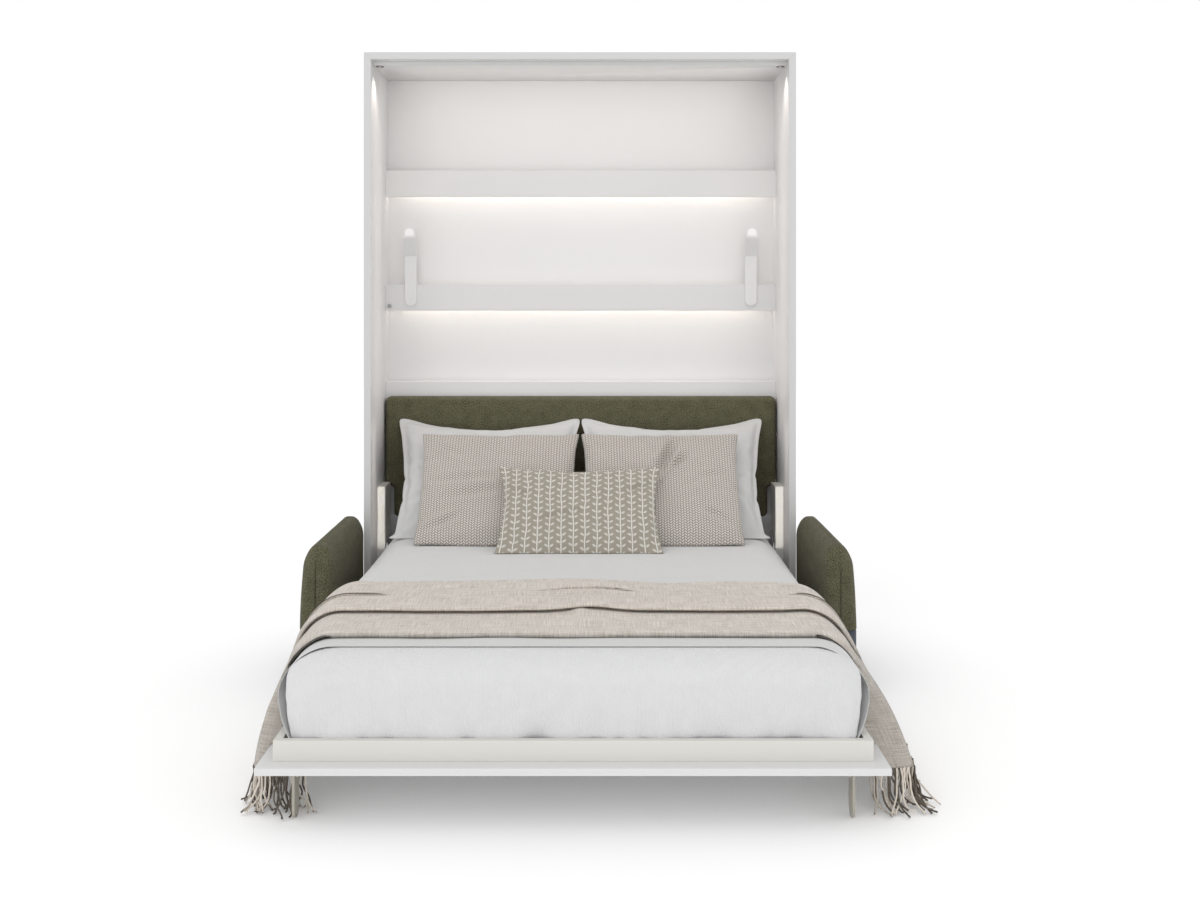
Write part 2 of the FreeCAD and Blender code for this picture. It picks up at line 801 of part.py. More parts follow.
foot_plate = block("bracket_plate", leg_low - 30, leg_low - 3, leg_f - 30, leg_f + 30, V["panel_clear"] - 3, V["panel_clear"])
cheek = block("bracket_cheek", leg_low - 6, leg_low - 3, leg_f - 18, leg_f + 18, leg_z - 14, V["panel_clear"])
bracket_pin = rod("bracket_pin", leg_low - 6, leg_f, leg_z, 5, V["leg_thick"] + 8, ALONG_X)
bracket = join("leg_bracket_right", [foot_plate, cheek, bracket_pin])
node("leg_brackets", group("leg_brackets", [bracket, mirrored("leg_bracket_left", bracket)]))

# Sofa arms in front of the cabinet sides: a frame with a plain base, and an upholstered pad over its upper part.
arm_in = HALF
arm_high = V["arm_top"] - V["arm_base_top"]
arm, arm_pad = padded(
    "arm_pad_right",
    "XZ",
    [
        (0, 0),
        (V["arm_thick"], 0),
        (V["arm_thick"], arm_high - V["arm_taper"]),
        (V["arm_thick"] - 23, arm_high),
        (23, arm_high),
        (0, arm_high - V["arm_taper"]),
    ],
    V["arm_length"],
    (arm_in, FRONT, V["arm_base_top"]),
)


def arm_edge(p, edge):
    lengthwise = abs(edge.tangentAt(edge.FirstParameter).y) > 0.99 and p.z > 10
    front = p.y < 1 - V["arm_length"].value and p.z > 10
    return lengthwise or front


rounded(arm, arm_pad, "arm_round_edges", V["arm_round"], arm_edge)
core_box = [
    (24, 30 - V["arm_length"]),
    (V["arm_thick"] - 24, 30 - V["arm_length"]),
    (V["arm_thick"] - 24, -24),
    (24, -24),
]
pocketed(arm, "arm_recess", "XY", core_box, arm_high - 40, 0, True)
node("arm_pad_right", arm)
node("arm_pad_left", mirrored("arm_pad_left", arm))
arm_out = arm_in + V["arm_thick"]
arm_core = block("arm_core", arm_in + 24, arm_out - 24, 24, V["arm_length"] - 30, V["arm_base_top"] - 9, V["arm_top"] - 40)
arm_base = block("arm_base", arm_in, arm_out - 8, 8, V["arm_length"] - 22, V["arm_foot"], V["arm_base_top"])
frame = join("arm_frame_right", [arm_core, arm_base])
node("arm_frames", group("arm_frames", [frame, mirrored("arm_frame_left", frame)]))
feet = []
for hand, sign in (("r", 1), ("l", -1)):
    for end, f in (("rear", size(80)), ("front", V["arm_length"] - 90)):
        foot_x = (arm_in + V["arm_thick"] / 2) * sign
        feet.append(rod(f"arm_foot_{hand}_{end}", foot_x, f, 0, 20, V["arm_foot"], ALONG_Z))
node("arm_feet", group("arm_feet", feet))

# Sofa base and seat: four equal links carry the seat level, low under the open bed and high when it is folded away.
base_in = HALF - V["base_width"]
rear_f = V["link_rear"]
fore_f = rear_f + V["link_pitch"]
pivot_z = V["link_pivot_z"]
beam = block("base_beam", base_in, HALF, 0, V["arm_length"] - 20, V["base_low"], V["base_high"])
link_out = base_in - V["link_gap"]
link_in = link_out - V["link_thick"]
beam_pins = []
for tag, f in (("rear", rear_f), ("fore", fore_f)):
    beam_pins.append(rod(f"base_pin_{tag}", link_in - 2, f, pivot_z, V["link_pin_r"], 9 + V["link_thick"], ALONG_X))
base = join("base_rail_right", [beam] + beam_pins)
node("base_rails", group("base_rails", [base, mirrored("base_rail_left", base)]))
node("base_tie", block("base_tie", -base_in, base_in, V["arm_length"] - 60, V["arm_length"] - 20, 12, 20))
lift_f = V["link_length"] * cosine(V["link_angle"])
lift_z = V["link_length"] * sine(V["link_angle"])
for tag, f in (("rear", rear_f), ("front", fore_f)):
    bar = doc.addObject("Part::Box", f"link_bar_{tag}")
    bind(bar, "Length", V["link_thick"])
    bind(bar, "Width", V["link_length"])
    bind(bar, "Height", 2 * V["link_r"])
    turn = Rotation(Vector(1, 0, 0), 180 - V["link_angle"].value)
    corner_f = f + V["link_r"] * -sine(V["link_angle"])
    corner_z = pivot_z + V["link_r"] * cosine(V["link_angle"])
    place(bar, link_in, FRONT - corner_f, corner_z, turn)
    low_eye = rod(f"link_eye_low_{tag}", link_in, f, pivot_z, V["link_r"], V["link_thick"], ALONG_X)
    high_eye = rod(f"link_eye_high_{tag}", link_in, f + lift_f, pivot_z + lift_z, V["link_r"], V["link_thick"], ALONG_X)
    hole_r = V["link_pin_r"] + 0.05
    low_hole = rod(f"link_hole_low_{tag}", link_in - 1, f, pivot_z, hole_r, V["link_thick"] + 2, ALONG_X)
    name = f"link_hole_high_{tag}"
    high_hole = rod(name, link_in - 1, f + lift_f, pivot_z + lift_z, hole_r, V["link_thick"] + 2, ALONG_X)
    link = less(f"link_{tag}_right", join(f"link_solid_{tag}", [bar, low_eye, high_eye]), [low_hole, high_hole])
    node(f"seat_links_{tag}", group(f"seat_links_{tag}", [link, mirrored(f"link_{tag}_left", link)]))
seat_f = rear_f + lift_f - V["seat_heel"]
seat_z = pivot_z + lift_z - V["seat_thick"] / 2
seat = link_in - V["link_gap"]
board = block("seat_slab", -seat, seat, seat_f, seat_f + V["seat_depth"], seat_z, seat_z + V["seat_thick"])
seat_pins = []
for tag, f in (("rear", rear_f), ("fore", fore_f)):
    for hand, x in (("r", seat - 1), ("l", 1 - seat - 17)):
        name = f"seat_pin_{tag}_{hand}"
        seat_pins.append(rod(name, x, f + lift_f, pivot_z + lift_z, V["link_pin_r"], 17, ALONG_X))
node("seat_board", join("seat_board", [board] + seat_pins))


def cushion_section(body, name, inset, z):
    wide = 2 * seat - 4
    deep = V["seat_depth"] - 4
    points = [(inset, inset), (wide - inset, inset), (wide - inset, deep - inset), (inset, deep - inset)]
    sketch = outline(body, name, "XY", points)
    bind(sketch, "Placement.Base.z", z)
    return sketch


cushion = doc.addObject("PartDesign::Body", "seat_cushion")
levels = ((16, 0), (2, 0.3), (0, 0.5), (3, 0.72), (30, 0.93), (110, 1.0))
sections = []
for i, (inset, part) in enumerate(levels):
    sections.append(cushion_section(cushion, f"cushion_section{i}", size(inset), V["seat_pad"] * part))
loft = cushion.newObject("PartDesign::AdditiveLoft", "cushion_loft")
loft.Profile = sections[0]
loft.Sections = sections[1:]
loft.Ruled = True
place(cushion, 2 - seat, FRONT - seat_f - V["seat_depth"] + 2, seat_z + V["seat_thick"] + 0.3)
node("seat_cushion", cushion)

# Mattress with rounded edges, and the white cover that lies over it and hangs inside the rails.
mat = V["mattress_half"]
mat_top = V["mattress_low"] + V["mattress_thick"]
mattress, mat_pad = padded(
    "mattress",
    "XY",
    [(0, 0), (2 * mat, 0), (2 * mat, V["mattress_length"]), (0, V["mattress_length"])],
    V["mattress_thick"],
    (-mat, FRONT - MAT_FRONT, V["mattress_low"] + 0.3),
)


def upright_edge(p, edge):
    return abs(edge.tangentAt(edge.FirstParameter).z) > 0.99


def top_edge(p, edge):
    return p.z > V["mattress_thick"].value - 1


def bottom_edge(p, edge):
    return p.z < 1


corners = rounded(mattress, mat_pad, "mattress_corners", V["mattress_round"] + 14, upright_edge)
crown = rounded(mattress, corners, "mattress_crown", V["mattress_round"], top_edge)
rounded(mattress, crown, "mattress_underside", V["mattress_round"] / 2, bottom_edge)
node("mattress", mattress)

# The profile of a cloth over the mattress: half way across, down one side to an angle from the level.
TURNS = 6


def over(half, top, radius, angle, scale):
    """Points from the middle of the top to the side, round a corner of the given radius."""
    points = []
    for i in range(TURNS + 1):
        part = angle * i / TURNS
        far_out = half - radius + radius * scale * math.sin(math.radians(part))
        high_up = top - radius + radius * scale * math.cos(math.radians(part))
        points.append((far_out, high_up))
    return points


inner_x = mat + 6
inner_z = mat_top + 0.6
thin = V["cover_thick"]
outer_x = inner_x + thin - 2
outer_z = inner_z + thin
bend_r = V["mattress_round"] + 4
flap_low = RAIL_TOP + 3
OUTSIDE = 1 / math.cos(math.radians(7.5))
inner_side = over(inner_x, inner_z, bend_r, 90, OUTSIDE) + [(inner_x, flap_low)]
outer_side = over(outer_x, outer_z, bend_r + thin, 90, OUTSIDE) + [(outer_x, flap_low)]


def shell(inner, outer):
    """A closed profile between two half profiles and their mirror images, from the left side of the cloth."""
    ring = [(outer_x + 40 + x, z) for x, z in outer]
    ring += [(outer_x + 40 + x, z) for x, z in inner[::-1]]
    ring += [(outer_x + 40 - x, z) for x, z in inner]
    ring += [(outer_x + 40 - x, z) for x, z in outer[::-1]]
    return [(x, z - flap_low + 1) for x, z in ring]


cover_front = MAT_FRONT - V["cover_back"]
cover, cover_pad = padded(
    "bed_cover",
    "XZ",
    shell(inner_side, outer_side),
    cover_front + V["cover_rear"],
    (-outer_x - 40, FRONT + V["cover_rear"], flap_low - 1),
)
node("bed_cover", cover)

# Throw: a folded band across the bed whose two ends hang outwards over the panel edges in soft folds.
throw_in_x = outer_x + 1.5
throw_in_z = outer_z + 1.5
throw_out_x = throw_in_x + V["throw_thick"]
throw_top = throw_in_z + V["throw_thick"]
throw_r = bend_r + thin + 2
LEAVE = 62
throw_near = MAT_FRONT - V["throw_back"]
throw_far = V["arm_length"] + (MAT_FRONT - V["arm_length"]) * V["throw_part"]
band_in = over(throw_in_x, throw_in_z, throw_r, LEAVE, OUTSIDE)
band_out = over(throw_out_x, throw_top, throw_r + V["throw_thick"], LEAVE, OUTSIDE)
band, _ = padded(
    "throw_band",
    "XZ",
    shell(band_in, band_out),
    throw_near - throw_far,
    (-outer_x - 40, FRONT - throw_far, flap_low - 1),
)
fold_in = over(throw_out_x, throw_top - 1, throw_r + V["throw_thick"], 34, OUTSIDE)
fold_out = over(throw_out_x + 12, throw_top + 11, throw_r + V["throw_thick"] + 12, 34, OUTSIDE)
fold, _ = padded(
    "throw_fold",
    "XZ",
    shell(fold_in, fold_out),
    V["throw_fold"],
    (-outer_x - 40, FRONT - throw_far - 2, flap_low - 1),
)
FOLDS = 11


def drape_section(body, name, inner, spread, inward, wave, far, near, z):
    """One level of a hanging end: a band with folds along the bed side, turned inwards at its near end."""
    outside = [(inner - inward, FRONT - near - spread), (inner + spread, FRONT - near - spread)]
    inside = [(inner - inward, FRONT - near), (inner, FRONT - near)]
    for i in range(1, FOLDS):
        part = i / (FOLDS - 1)
        f = near + (far - near) * part
        swell = wave * math.sin(i * math.pi / 2.0)
        outside.append((inner + spread + swell, FRONT - f))
        inside.append((inner + swell, FRONT - f))
    sketch = outline(body, name, "XY", outside + inside[::-1])
    bind(sketch, "Placement.Base.z", z)
    return sketch


drape = doc.addObject("PartDesign::Body", "throw_end")
far = throw_far + 2
near = cover_front + 2
leave_x = throw_in_x - throw_r + throw_r * 0.8829
leave_z = throw_in_z - throw_r + throw_r * 0.4695
reach_x = PANEL_HALF + V["throw_reach"] - leave_x
levels = (
    (leave_x - 2, 10, 10, 0, far, near, leave_z + 10),
    (leave_x + reach_x * 0.1, 10, 16, 1, far, near, leave_z - 14),
    (leave_x + reach_x * 0.45, 10, 40, 4, far, near + 4, leave_z - 110),
    (leave_x + reach_x * 0.72, 10, 24, 7, far + 8, near + 12, leave_z - 186),
    (leave_x + reach_x, 10, 62, 10, far + 20, near + 24, V["throw_hem"]),
)
sections = [drape_section(drape, f"throw_level{i}", *level) for i, level in enumerate(levels)]
loft = drape.newObject("PartDesign::AdditiveLoft", "throw_loft")
loft.Profile = sections[0]
loft.Sections = sections[1:]
loft.Ruled = True
place(drape, 0, 0, 0)
node("throw", join("throw", [band, fold, drape, mirrored("throw_end_left", drape)]))

# Pillows and cushions stand on the cover by their lower corners and lean back on one another and on the headboard.
EDGE = STUFFED[0][1]
floor_z = outer_z + V["rest_gap"]
pillow_wide = V["mattress_half"] - V["pillow_split"] - V["pillow_edge"]
pillow_z = floor_z + V["pillow_tall"] / 2 * EDGE * cosine(V["lean"])
square_z = floor_z + V["square_tall"] / 2 * EDGE * cosine(V["square_lean"])
lumbar_z = floor_z + V["lumbar_tall"] / 2 * EDGE * cosine(V["lean"])
pillow_f = V["pillow_clear"] - V["head_depth"] + V["pillow_tall"] / 2 * EDGE * sine(V["lean"])


def in_front(forward, z_behind, thick_behind, z, thick):
    """Forward place of a leaning piece that just clears the one behind it."""
    apart = (thick_behind + thick) / 2 + V["lean_gap"] + (z_behind - z) * sine(V["lean"])
    return forward + apart / cosine(V["lean"])


square_f = in_front(pillow_f, pillow_z, V["pillow_thick"], square_z, V["square_thick"])
lumbar_f = in_front(square_f, square_z, V["square_thick"], lumbar_z, V["lumbar_thick"])
pillow_size = (pillow_wide, V["pillow_tall"], V["pillow_thick"])
square_size = (V["square_wide"], V["square_tall"], V["square_thick"])
lumbar_size = (V["lumbar_wide"], V["lumbar_tall"], V["lumbar_thick"])
for hand, sign in (("left", -1), ("right", 1)):
    x = (pillow_wide / 2 + V["pillow_split"]) * sign
    node(f"pillow_{hand}", stuffed(f"pillow_{hand}", pillow_size, x, pillow_f, pillow_z, V["lean"]))
    x = (V["square_wide"] / 2 + V["square_split"]) * sign
    node(f"cushion_{hand}", stuffed(f"cushion_{hand}", square_size, x, square_f, square_z, V["square_lean"]))
node("lumbar_cushion", stuffed("lumbar_cushion", lumbar_size, 0, lumbar_f, lumbar_z, V["lean"]))

doc.recompute()
faults = []
for obj in doc.Objects:
    if "Invalid" in obj.State or "Error" in obj.State:
        faults.append(f"{obj.Name}: {obj.State}")
for name, obj in nodes.items():
    if obj.Shape.isNull() or not obj.Shape.isValid() or not obj.Shape.Solids:
        faults.append(f"{name}: no valid solid")
if faults:
    raise RuntimeError("; ".join(faults))
os.makedirs("parts", exist_ok=True)
for name, obj in nodes.items():
    obj.Shape.exportStep(f"parts/{name}.step")
print(len(nodes), "nodes")
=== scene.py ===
import json
import math
from collections import namedtuple
import bpy
import numpy as np
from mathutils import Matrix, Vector, noise


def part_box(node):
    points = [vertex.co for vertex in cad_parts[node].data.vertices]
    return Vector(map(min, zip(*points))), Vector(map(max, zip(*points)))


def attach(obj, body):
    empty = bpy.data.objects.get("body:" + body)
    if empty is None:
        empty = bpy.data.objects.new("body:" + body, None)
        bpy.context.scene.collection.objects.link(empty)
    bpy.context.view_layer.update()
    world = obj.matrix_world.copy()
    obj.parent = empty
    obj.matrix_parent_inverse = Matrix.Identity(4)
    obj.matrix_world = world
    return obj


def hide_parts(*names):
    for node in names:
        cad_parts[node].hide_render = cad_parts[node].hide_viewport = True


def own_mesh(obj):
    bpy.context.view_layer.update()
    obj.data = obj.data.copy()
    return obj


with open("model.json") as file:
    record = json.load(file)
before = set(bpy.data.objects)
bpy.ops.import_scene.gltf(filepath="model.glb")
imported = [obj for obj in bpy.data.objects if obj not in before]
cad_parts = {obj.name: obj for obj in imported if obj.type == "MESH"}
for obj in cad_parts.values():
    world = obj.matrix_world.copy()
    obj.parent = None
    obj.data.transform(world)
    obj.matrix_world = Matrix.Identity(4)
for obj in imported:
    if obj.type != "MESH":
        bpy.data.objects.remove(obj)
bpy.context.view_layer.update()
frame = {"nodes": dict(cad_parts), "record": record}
nodes = frame["nodes"]
scene = bpy.context.scene

# Lengths in metres in the row frame. "Forward" runs from the cabinet front towards the foot of the bed.
FRONT_Y = 0.585
COVER_TOP = 0.4206
COVER_FRONT = 1.480
COVER_REAR = -0.213
HANDS = (("left", -1), ("right", 1))


def row_y(forward):
    return FRONT_Y - forward


def smooth(low, high, x):
    t = np.clip((x - low) / (high - low), 0.0, 1.0)
    return t * t * (3 - 2 * t)


def ease(low, high, x):
    return float(smooth(low, high, x))


def bell(x, middle, width):
    return math.exp(-(((x - middle) / width) ** 2))


def noise_at(*place):
    """Smooth noise from -1 to 1 at one place."""
    return noise.noise(Vector(place))


def wave_noise(points, scale, seed=0.0):
    """Smooth noise from -1 to 1 at each point."""
    shift = Vector((seed, 2.7 * seed, -1.3 * seed))
    return np.array([noise.noise(Vector(p) * scale + shift) for p in points])


# ---- materials


def grey(value):
    return (value, value, value)


def scaled(color, share):
    return tuple(c * share for c in color)


class Look:
    """A procedural material, built node by node."""

    def __init__(self, name, rough, metal=0.0, color=(0.8, 0.8, 0.8), **shader):
        self.mat = bpy.data.materials.new(name)
        self.mat.use_nodes = True
        self.tree = self.mat.node_tree
        self.shader = self.tree.nodes["Principled BSDF"]
        self.set("Base Color", (*color, 1.0))
        self.set("Roughness", rough)
        self.set("Metallic", metal)
        for key, value in shader.items():
            self.set(key.replace("_", " "), value)

    def set(self, socket, value):
        if isinstance(value, bpy.types.NodeSocket):
            self.tree.links.new(value, self.shader.inputs[socket])
        else:
            self.shader.inputs[socket].default_value = value

    def add(self, kind, inputs=None, **properties):
        made = self.tree.nodes.new("ShaderNode" + kind)
        for key, value in properties.items():
            setattr(made, key, value)
        for key, value in (inputs or {}).items():
            if isinstance(value, bpy.types.NodeSocket):
                self.tree.links.new(value, made.inputs[key])
            else:
                made.inputs[key].default_value = value
        return made.outputs

    def math(self, operation, a, b=0.0):
        return self.add("Math", {0: a, 1: b}, operation=operation)[0]

    def plus(self, a, b):
        return self.math("ADD", a, b)

    def less(self, a, b):
        return self.math("SUBTRACT", a, b)

    def times(self, a, b):
        return self.math("MULTIPLY", a, b)

    def clamp(self, value):
        return self.math("MINIMUM", self.math("MAXIMUM", value, 0.0), 1.0)

    def map(self, value, low, high, to_low=0.0, to_high=1.0):
        inputs = {"Value": value, "From Min": low, "From Max": high, "To Min": to_low, "To Max": to_high}
        return self.add("MapRange", inputs)[0]

    def mix(self, factor, a, b):
        colours = [c if isinstance(c, bpy.types.NodeSocket) else (*c, 1.0) for c in (a, b)]
        return self.add("Mix", {0: factor, 6: colours[0], 7: colours[1]}, data_type="RGBA")[2]

    def place(self, kind="Object"):
        return self.add("TexCoord")[kind]

    def stretch(self, vector, scale):
        return self.add("Mapping", {"Vector": vector, "Scale": scale})[0]

    def noise(self, vector, scale, detail=3.0, rough=0.5):
        inputs = {"Vector": vector, "Scale": scale, "Detail": detail, "Roughness": rough}
        return self.add("TexNoise", inputs)[0]

    def bump(self, height, distance, strength=1.0):
        inputs = {"Height": height, "Distance": distance, "Strength": strength}
        self.set("Normal", self.add("Bump", inputs)[0])

    def axes(self, vector):
        return self.add("SeparateXYZ", {0: vector})


def board(name, color, rough, band=None):
    """Lacquered board: nearly even colour, faint orange peel and, where band is given, a painted shade in
    that colour on the front edge faces.
    """
    look = Look(name, rough)
    here = look.place()
    tint = look.mix(look.noise(here, 3.0, 4.0), scaled(color, 0.98), color)
    if band:
        # Painted shade: the front edge faces take the darker band colour.
        edge_shade_mask = look.map(look.axes(here)[1], FRONT_Y + 0.0004, FRONT_Y + 0.0012, 1.0, 0.0)
        tint = look.mix(edge_shade_mask, tint, band)
    look.set("Base Color", tint)
    look.set("Roughness", look.map(look.noise(here, 11.0, 5.0), 0.3, 0.7, rough - 0.05, rough + 0.07))
    look.bump(look.noise(here, 620.0, 2.0), 0.00012, 0.35)
    return look.mat


def wood(name, light, dark, rough, along):
    look = Look(name, rough)
    here = look.stretch(look.place(), along)
    bend = look.noise(here, 2.2, 3.0)
    wave = {"Vector": here, "Scale": 3.0, "Distortion": 5.0, "Detail": 3.0, "Detail Scale": 1.4}
    lines = look.add("TexWave", wave)[1]
    pores = look.noise(look.stretch(look.place(), (along[0] * 60, along[1] * 25, along[2] * 60)), 1.0, 2.0)
    shade = look.times(look.plus(lines, bend), 0.5)
    shade = look.times(shade, look.map(pores, 0.35, 0.5, 0.75, 1.0))
    look.set("Base Color", look.mix(shade, dark, light))
    look.bump(pores, 0.0002, 0.4)
    return look.mat


def chipboard(name, light, dark):
    look = Look(name, 0.75)
    here = look.place()
    flakes = look.add("TexVoronoi", {"Vector": look.stretch(here, (1.0, 0.55, 1.0)), "Scale": 420.0})[1]
    tone = look.axes(flakes)[0]
    look.set("Base Color", look.mix(look.times(tone, look.noise(here, 60.0)), dark, light))
    look.bump(tone, 0.0003, 0.5)
    return look.mat


def cloth(name, light, dark, pitch, mottle, depth, sheen=0.25, ribs=0.0, slub=0.0, speck=0.0, shade=None):
    """Woven fabric: crossing threads of the given pitch, uneven yarn and a mottled colour, with painted shade
    towards the sides where shade is given.
    """
    look = Look(name, 0.9, Sheen_Weight=sheen, Sheen_Roughness=0.55)
    look.set("Specular IOR Level", 0.25)
    uv = look.place("UV")
    wobble = look.noise(uv, 0.22 / pitch, 2.0)
    u, v, _ = look.axes(uv)
    turn = 2 * math.pi / pitch
    across = look.math("SINE", look.plus(look.times(u, turn), look.times(wobble, 2.5)))
    upright = look.math("SINE", look.plus(look.times(v, turn), look.times(wobble, 3.5)))
    weave = look.times(across, upright)
    strands = look.noise(uv, 0.62 / pitch, 3.0, 0.65)
    patch = look.noise(uv, 26.0, 5.0, 0.6)
    tone = look.map(strands, 0.28, 0.72, 0.5 - 0.5 * mottle, 0.5 + 0.5 * mottle)
    tone = look.plus(tone, look.times(weave, 0.12))
    tone = look.plus(tone, look.map(patch, 0.3, 0.7, -0.12, 0.12))
    if slub:
        threads = look.noise(look.stretch(uv, (12.0, 460.0, 1.0)), 1.0, 2.0)
        cross = look.noise(look.stretch(uv, (460.0, 12.0, 1.0)), 1.0, 2.0)
        tone = look.plus(tone, look.map(look.plus(threads, cross), 0.6, 1.4, -slub, slub))
    if speck:
        tone = look.plus(tone, look.map(look.noise(uv, 240.0, 1.0), 0.36, 0.64, -speck, speck))
    tone = look.clamp(tone)
    color = look.mix(tone, dark, light)
    # Painted shade: from |u| start to end the colour darkens to share of itself; on the throw this darkens
    # the hanging ends.
    if shade:
        start, end, share = shade
        painted_shade_color = look.mix(tone, scaled(dark, share), scaled(light, share))
        color = look.mix(look.map(look.math("ABSOLUTE", u), start, end), color, painted_shade_color)
    look.set("Base Color", color)
    height = look.plus(look.times(weave, 0.5), strands)
    if ribs:
        rib = look.math("SINE", look.times(u, 2 * math.pi / ribs))
        height = look.plus(height, look.times(rib, 1.2))
    look.bump(height, depth, 0.8)
    return look.mat


def dashed_weave(name, light, dark, row, dash):
    """Coarse weave of short slanted floats that change direction from column to column."""
    look = Look(name, 0.92, Sheen_Weight=0.2)
    uv = look.place("UV")
    drift = look.noise(uv, 24.0, 3.0)
    u, v, _ = look.axes(uv)
    u = look.plus(u, look.map(drift, 0.0, 1.0, -0.0022, 0.0022))
    line = look.math("DIVIDE", u, row)
    odd = look.math("MODULO", look.math("ABSOLUTE", look.math("FLOOR", line)), 2.0)
    side = look.map(odd, 0.0, 1.0, -1.0, 1.0)
    inside = look.math("FRACT", line)
    lean = look.times(look.times(inside, side), 0.62)
    cell = look.math("FRACT", look.plus(look.math("DIVIDE", v, dash), lean))
    ridge = look.math("SINE", look.times(cell, math.pi))
    ends = look.math("SINE", look.times(inside, math.pi))
    float_high = look.times(ridge, look.math("POWER", look.math("MAXIMUM", ends, 0.001), 0.45))
    fibre = look.noise(uv, 900.0, 2.0)
    tone = look.plus(look.map(float_high, 0.28, 0.72), look.map(fibre, 0.3, 0.7, -0.2, 0.2))
    look.set("Base Color", look.mix(look.clamp(tone), dark, light))
    look.bump(float_high, 0.0011, 0.75)
    return look.mat


def leaf_print(name, ground, motif, pitch):
    """Printed cotton: upright stems in a half drop, each with pairs of small leaves."""
    look = Look(name, 0.9, Sheen_Weight=0.15)
    uv = look.place("UV")
    u, v, _ = look.axes(uv)
    u = look.plus(u, look.map(look.noise(uv, 14.0, 2.0), 0.0, 1.0, -0.006, 0.006))
    v = look.plus(v, look.map(look.noise(uv, 9.0, 2.0), 0.0, 1.0, -0.009, 0.009))
    column = look.math("DIVIDE", u, pitch)
    drop = look.times(look.math("MODULO", look.math("ABSOLUTE", look.math("FLOOR", column)), 2.0), 0.5)
    x = look.less(look.math("FRACT", column), 0.5)
    rows = look.plus(look.math("DIVIDE", v, pitch * 0.62), drop)
    y = look.less(look.math("FRACT", rows), 0.5)
    away = look.math("ABSOLUTE", x)
    stem = look.map(away, 0.035, 0.055, 1.0, 0.0)
    # One leaf on each side of the stem: a lens that points up and out.
    from_stem = look.less(away, 0.24)
    along = look.plus(look.times(from_stem, 0.74), look.times(y, 0.48))
    over = look.less(look.times(y, 0.56), look.times(from_stem, 0.66))
    long = look.math("POWER", look.math("DIVIDE", along, 0.215), 2.0)
    wide = look.math("POWER", look.math("DIVIDE", over, 0.088), 2.0)
    leaf = look.map(look.plus(long, wide), 0.82, 1.08, 1.0, 0.0)
    vein = look.map(look.math("ABSOLUTE", over), 0.012, 0.02, 0.0, 1.0)
    shape = look.math("MAXIMUM", look.times(leaf, vein), stem)
    shape = look.times(shape, look.map(look.noise(uv, 420.0, 3.0), 0.3, 0.62, 0.55, 1.0))
    threads = look.noise(look.stretch(uv, (1000.0, 260.0, 1.0)), 1.0, 2.0)
    base = look.mix(threads, scaled(ground, 0.86), scaled(ground, 1.12))
    look.set("Base Color", look.mix(shape, base, motif))
    look.bump(threads, 0.0004, 0.7)
    return look.mat


def metal(name, color, rough, brushed):
    look = Look(name, rough, 1.0, color)
    here = look.place()
    lines = look.noise(look.stretch(here, brushed), 1.0, 2.0)
    look.set("Roughness", look.map(lines, 0.3, 0.7, rough - 0.06, rough + 0.08))
    look.set("Base Color", look.mix(look.noise(here, 20.0, 3.0), scaled(color, 0.9), color))
    look.bump(lines, 0.00005, 0.3)
    return look.mat


def painted(name, color, rough, grain=1400.0):
    look = Look(name, rough)
    here = look.place()
    look.set("Base Color", look.mix(look.noise(here, 8.0, 3.0), scaled(color, 0.95), color))
    look.bump(look.noise(here, grain, 2.0), 0.0001, 0.5)
    return look.mat


def glowing(name, color, strength):
    look = Look(name, 0.35, 0.0, color)
    look.set("Emission Color", (*color, 1.0))
    look.set("Emission Strength", strength)
    look.set("Roughness", look.map(look.noise(look.place(), 300.0), 0.3, 0.7, 0.3, 0.4))
    return look.mat


def yarn(name, light, dark):
    """Loose cords of mixed light and dark yarn, the darkest cords a painted shade among the cords: each
    cord's tone is the u of its UVs.
    """
    look = Look(name, 0.9, Sheen_Weight=0.1)
    twist = look.noise(look.place(), 700.0, 2.0)
    cord = look.axes(look.place("UV"))[0]
    tone = look.plus(cord, look.map(twist, 0.3, 0.7, -0.15, 0.15))
    look.set("Base Color", look.mix(look.clamp(tone), dark, light))
    look.bump(twist, 0.0005, 0.8)
    return look.mat


LOOKS = {}


def add_look(maker, name, *values, **options):
    LOOKS[name] = maker(name, *values, **options)


add_look(board, "white_board", grey(0.665), 0.45)
# Side and top panels: front edges darkened as painted shade.
add_look(board, "edged_board", grey(0.665), 0.45, band=grey(0.575))
# Ledge lips: a darker grey than the other boards, as painted shade.
add_look(board, "lip_board", grey(0.615), 0.45)
add_look(board, "cream_board", (0.655, 0.645, 0.605), 0.45)
add_look(chipboard, "raw_board", (0.62, 0.49, 0.33), (0.38, 0.27, 0.16))
add_look(wood, "beech", (0.66, 0.47, 0.28), (0.50, 0.32, 0.17), 0.45, (0.8, 9.0, 9.0))
add_look(
    cloth, "olive_cloth", (0.172, 0.163, 0.098), (0.026, 0.024, 0.012), 0.0021, 0.9, 0.0006, 0.04, speck=0.2,
)
add_look(cloth, "slate_cloth", (0.13, 0.145, 0.175), (0.055, 0.062, 0.078), 0.0021, 0.9, 0.0005, 0.05)
add_look(cloth, "white_cloth", (0.635, 0.635, 0.63), (0.555, 0.555, 0.552), 0.0012, 0.5, 0.0002)
add_look(cloth, "pillow_cloth", (0.62, 0.62, 0.615), (0.54, 0.54, 0.535), 0.0012, 0.5, 0.0002, 0.1)
add_look(cloth, "ribbed_cloth", (0.725, 0.725, 0.73), (0.62, 0.62, 0.63), 0.0018, 0.6, 0.00035, ribs=0.0052)
add_look(dashed_weave, "weave_cloth", (0.62, 0.59, 0.55), (0.22, 0.19, 0.16), 0.0098, 0.0088)
add_look(leaf_print, "print_cloth", (0.31, 0.282, 0.235), (0.74, 0.73, 0.69), 0.040)
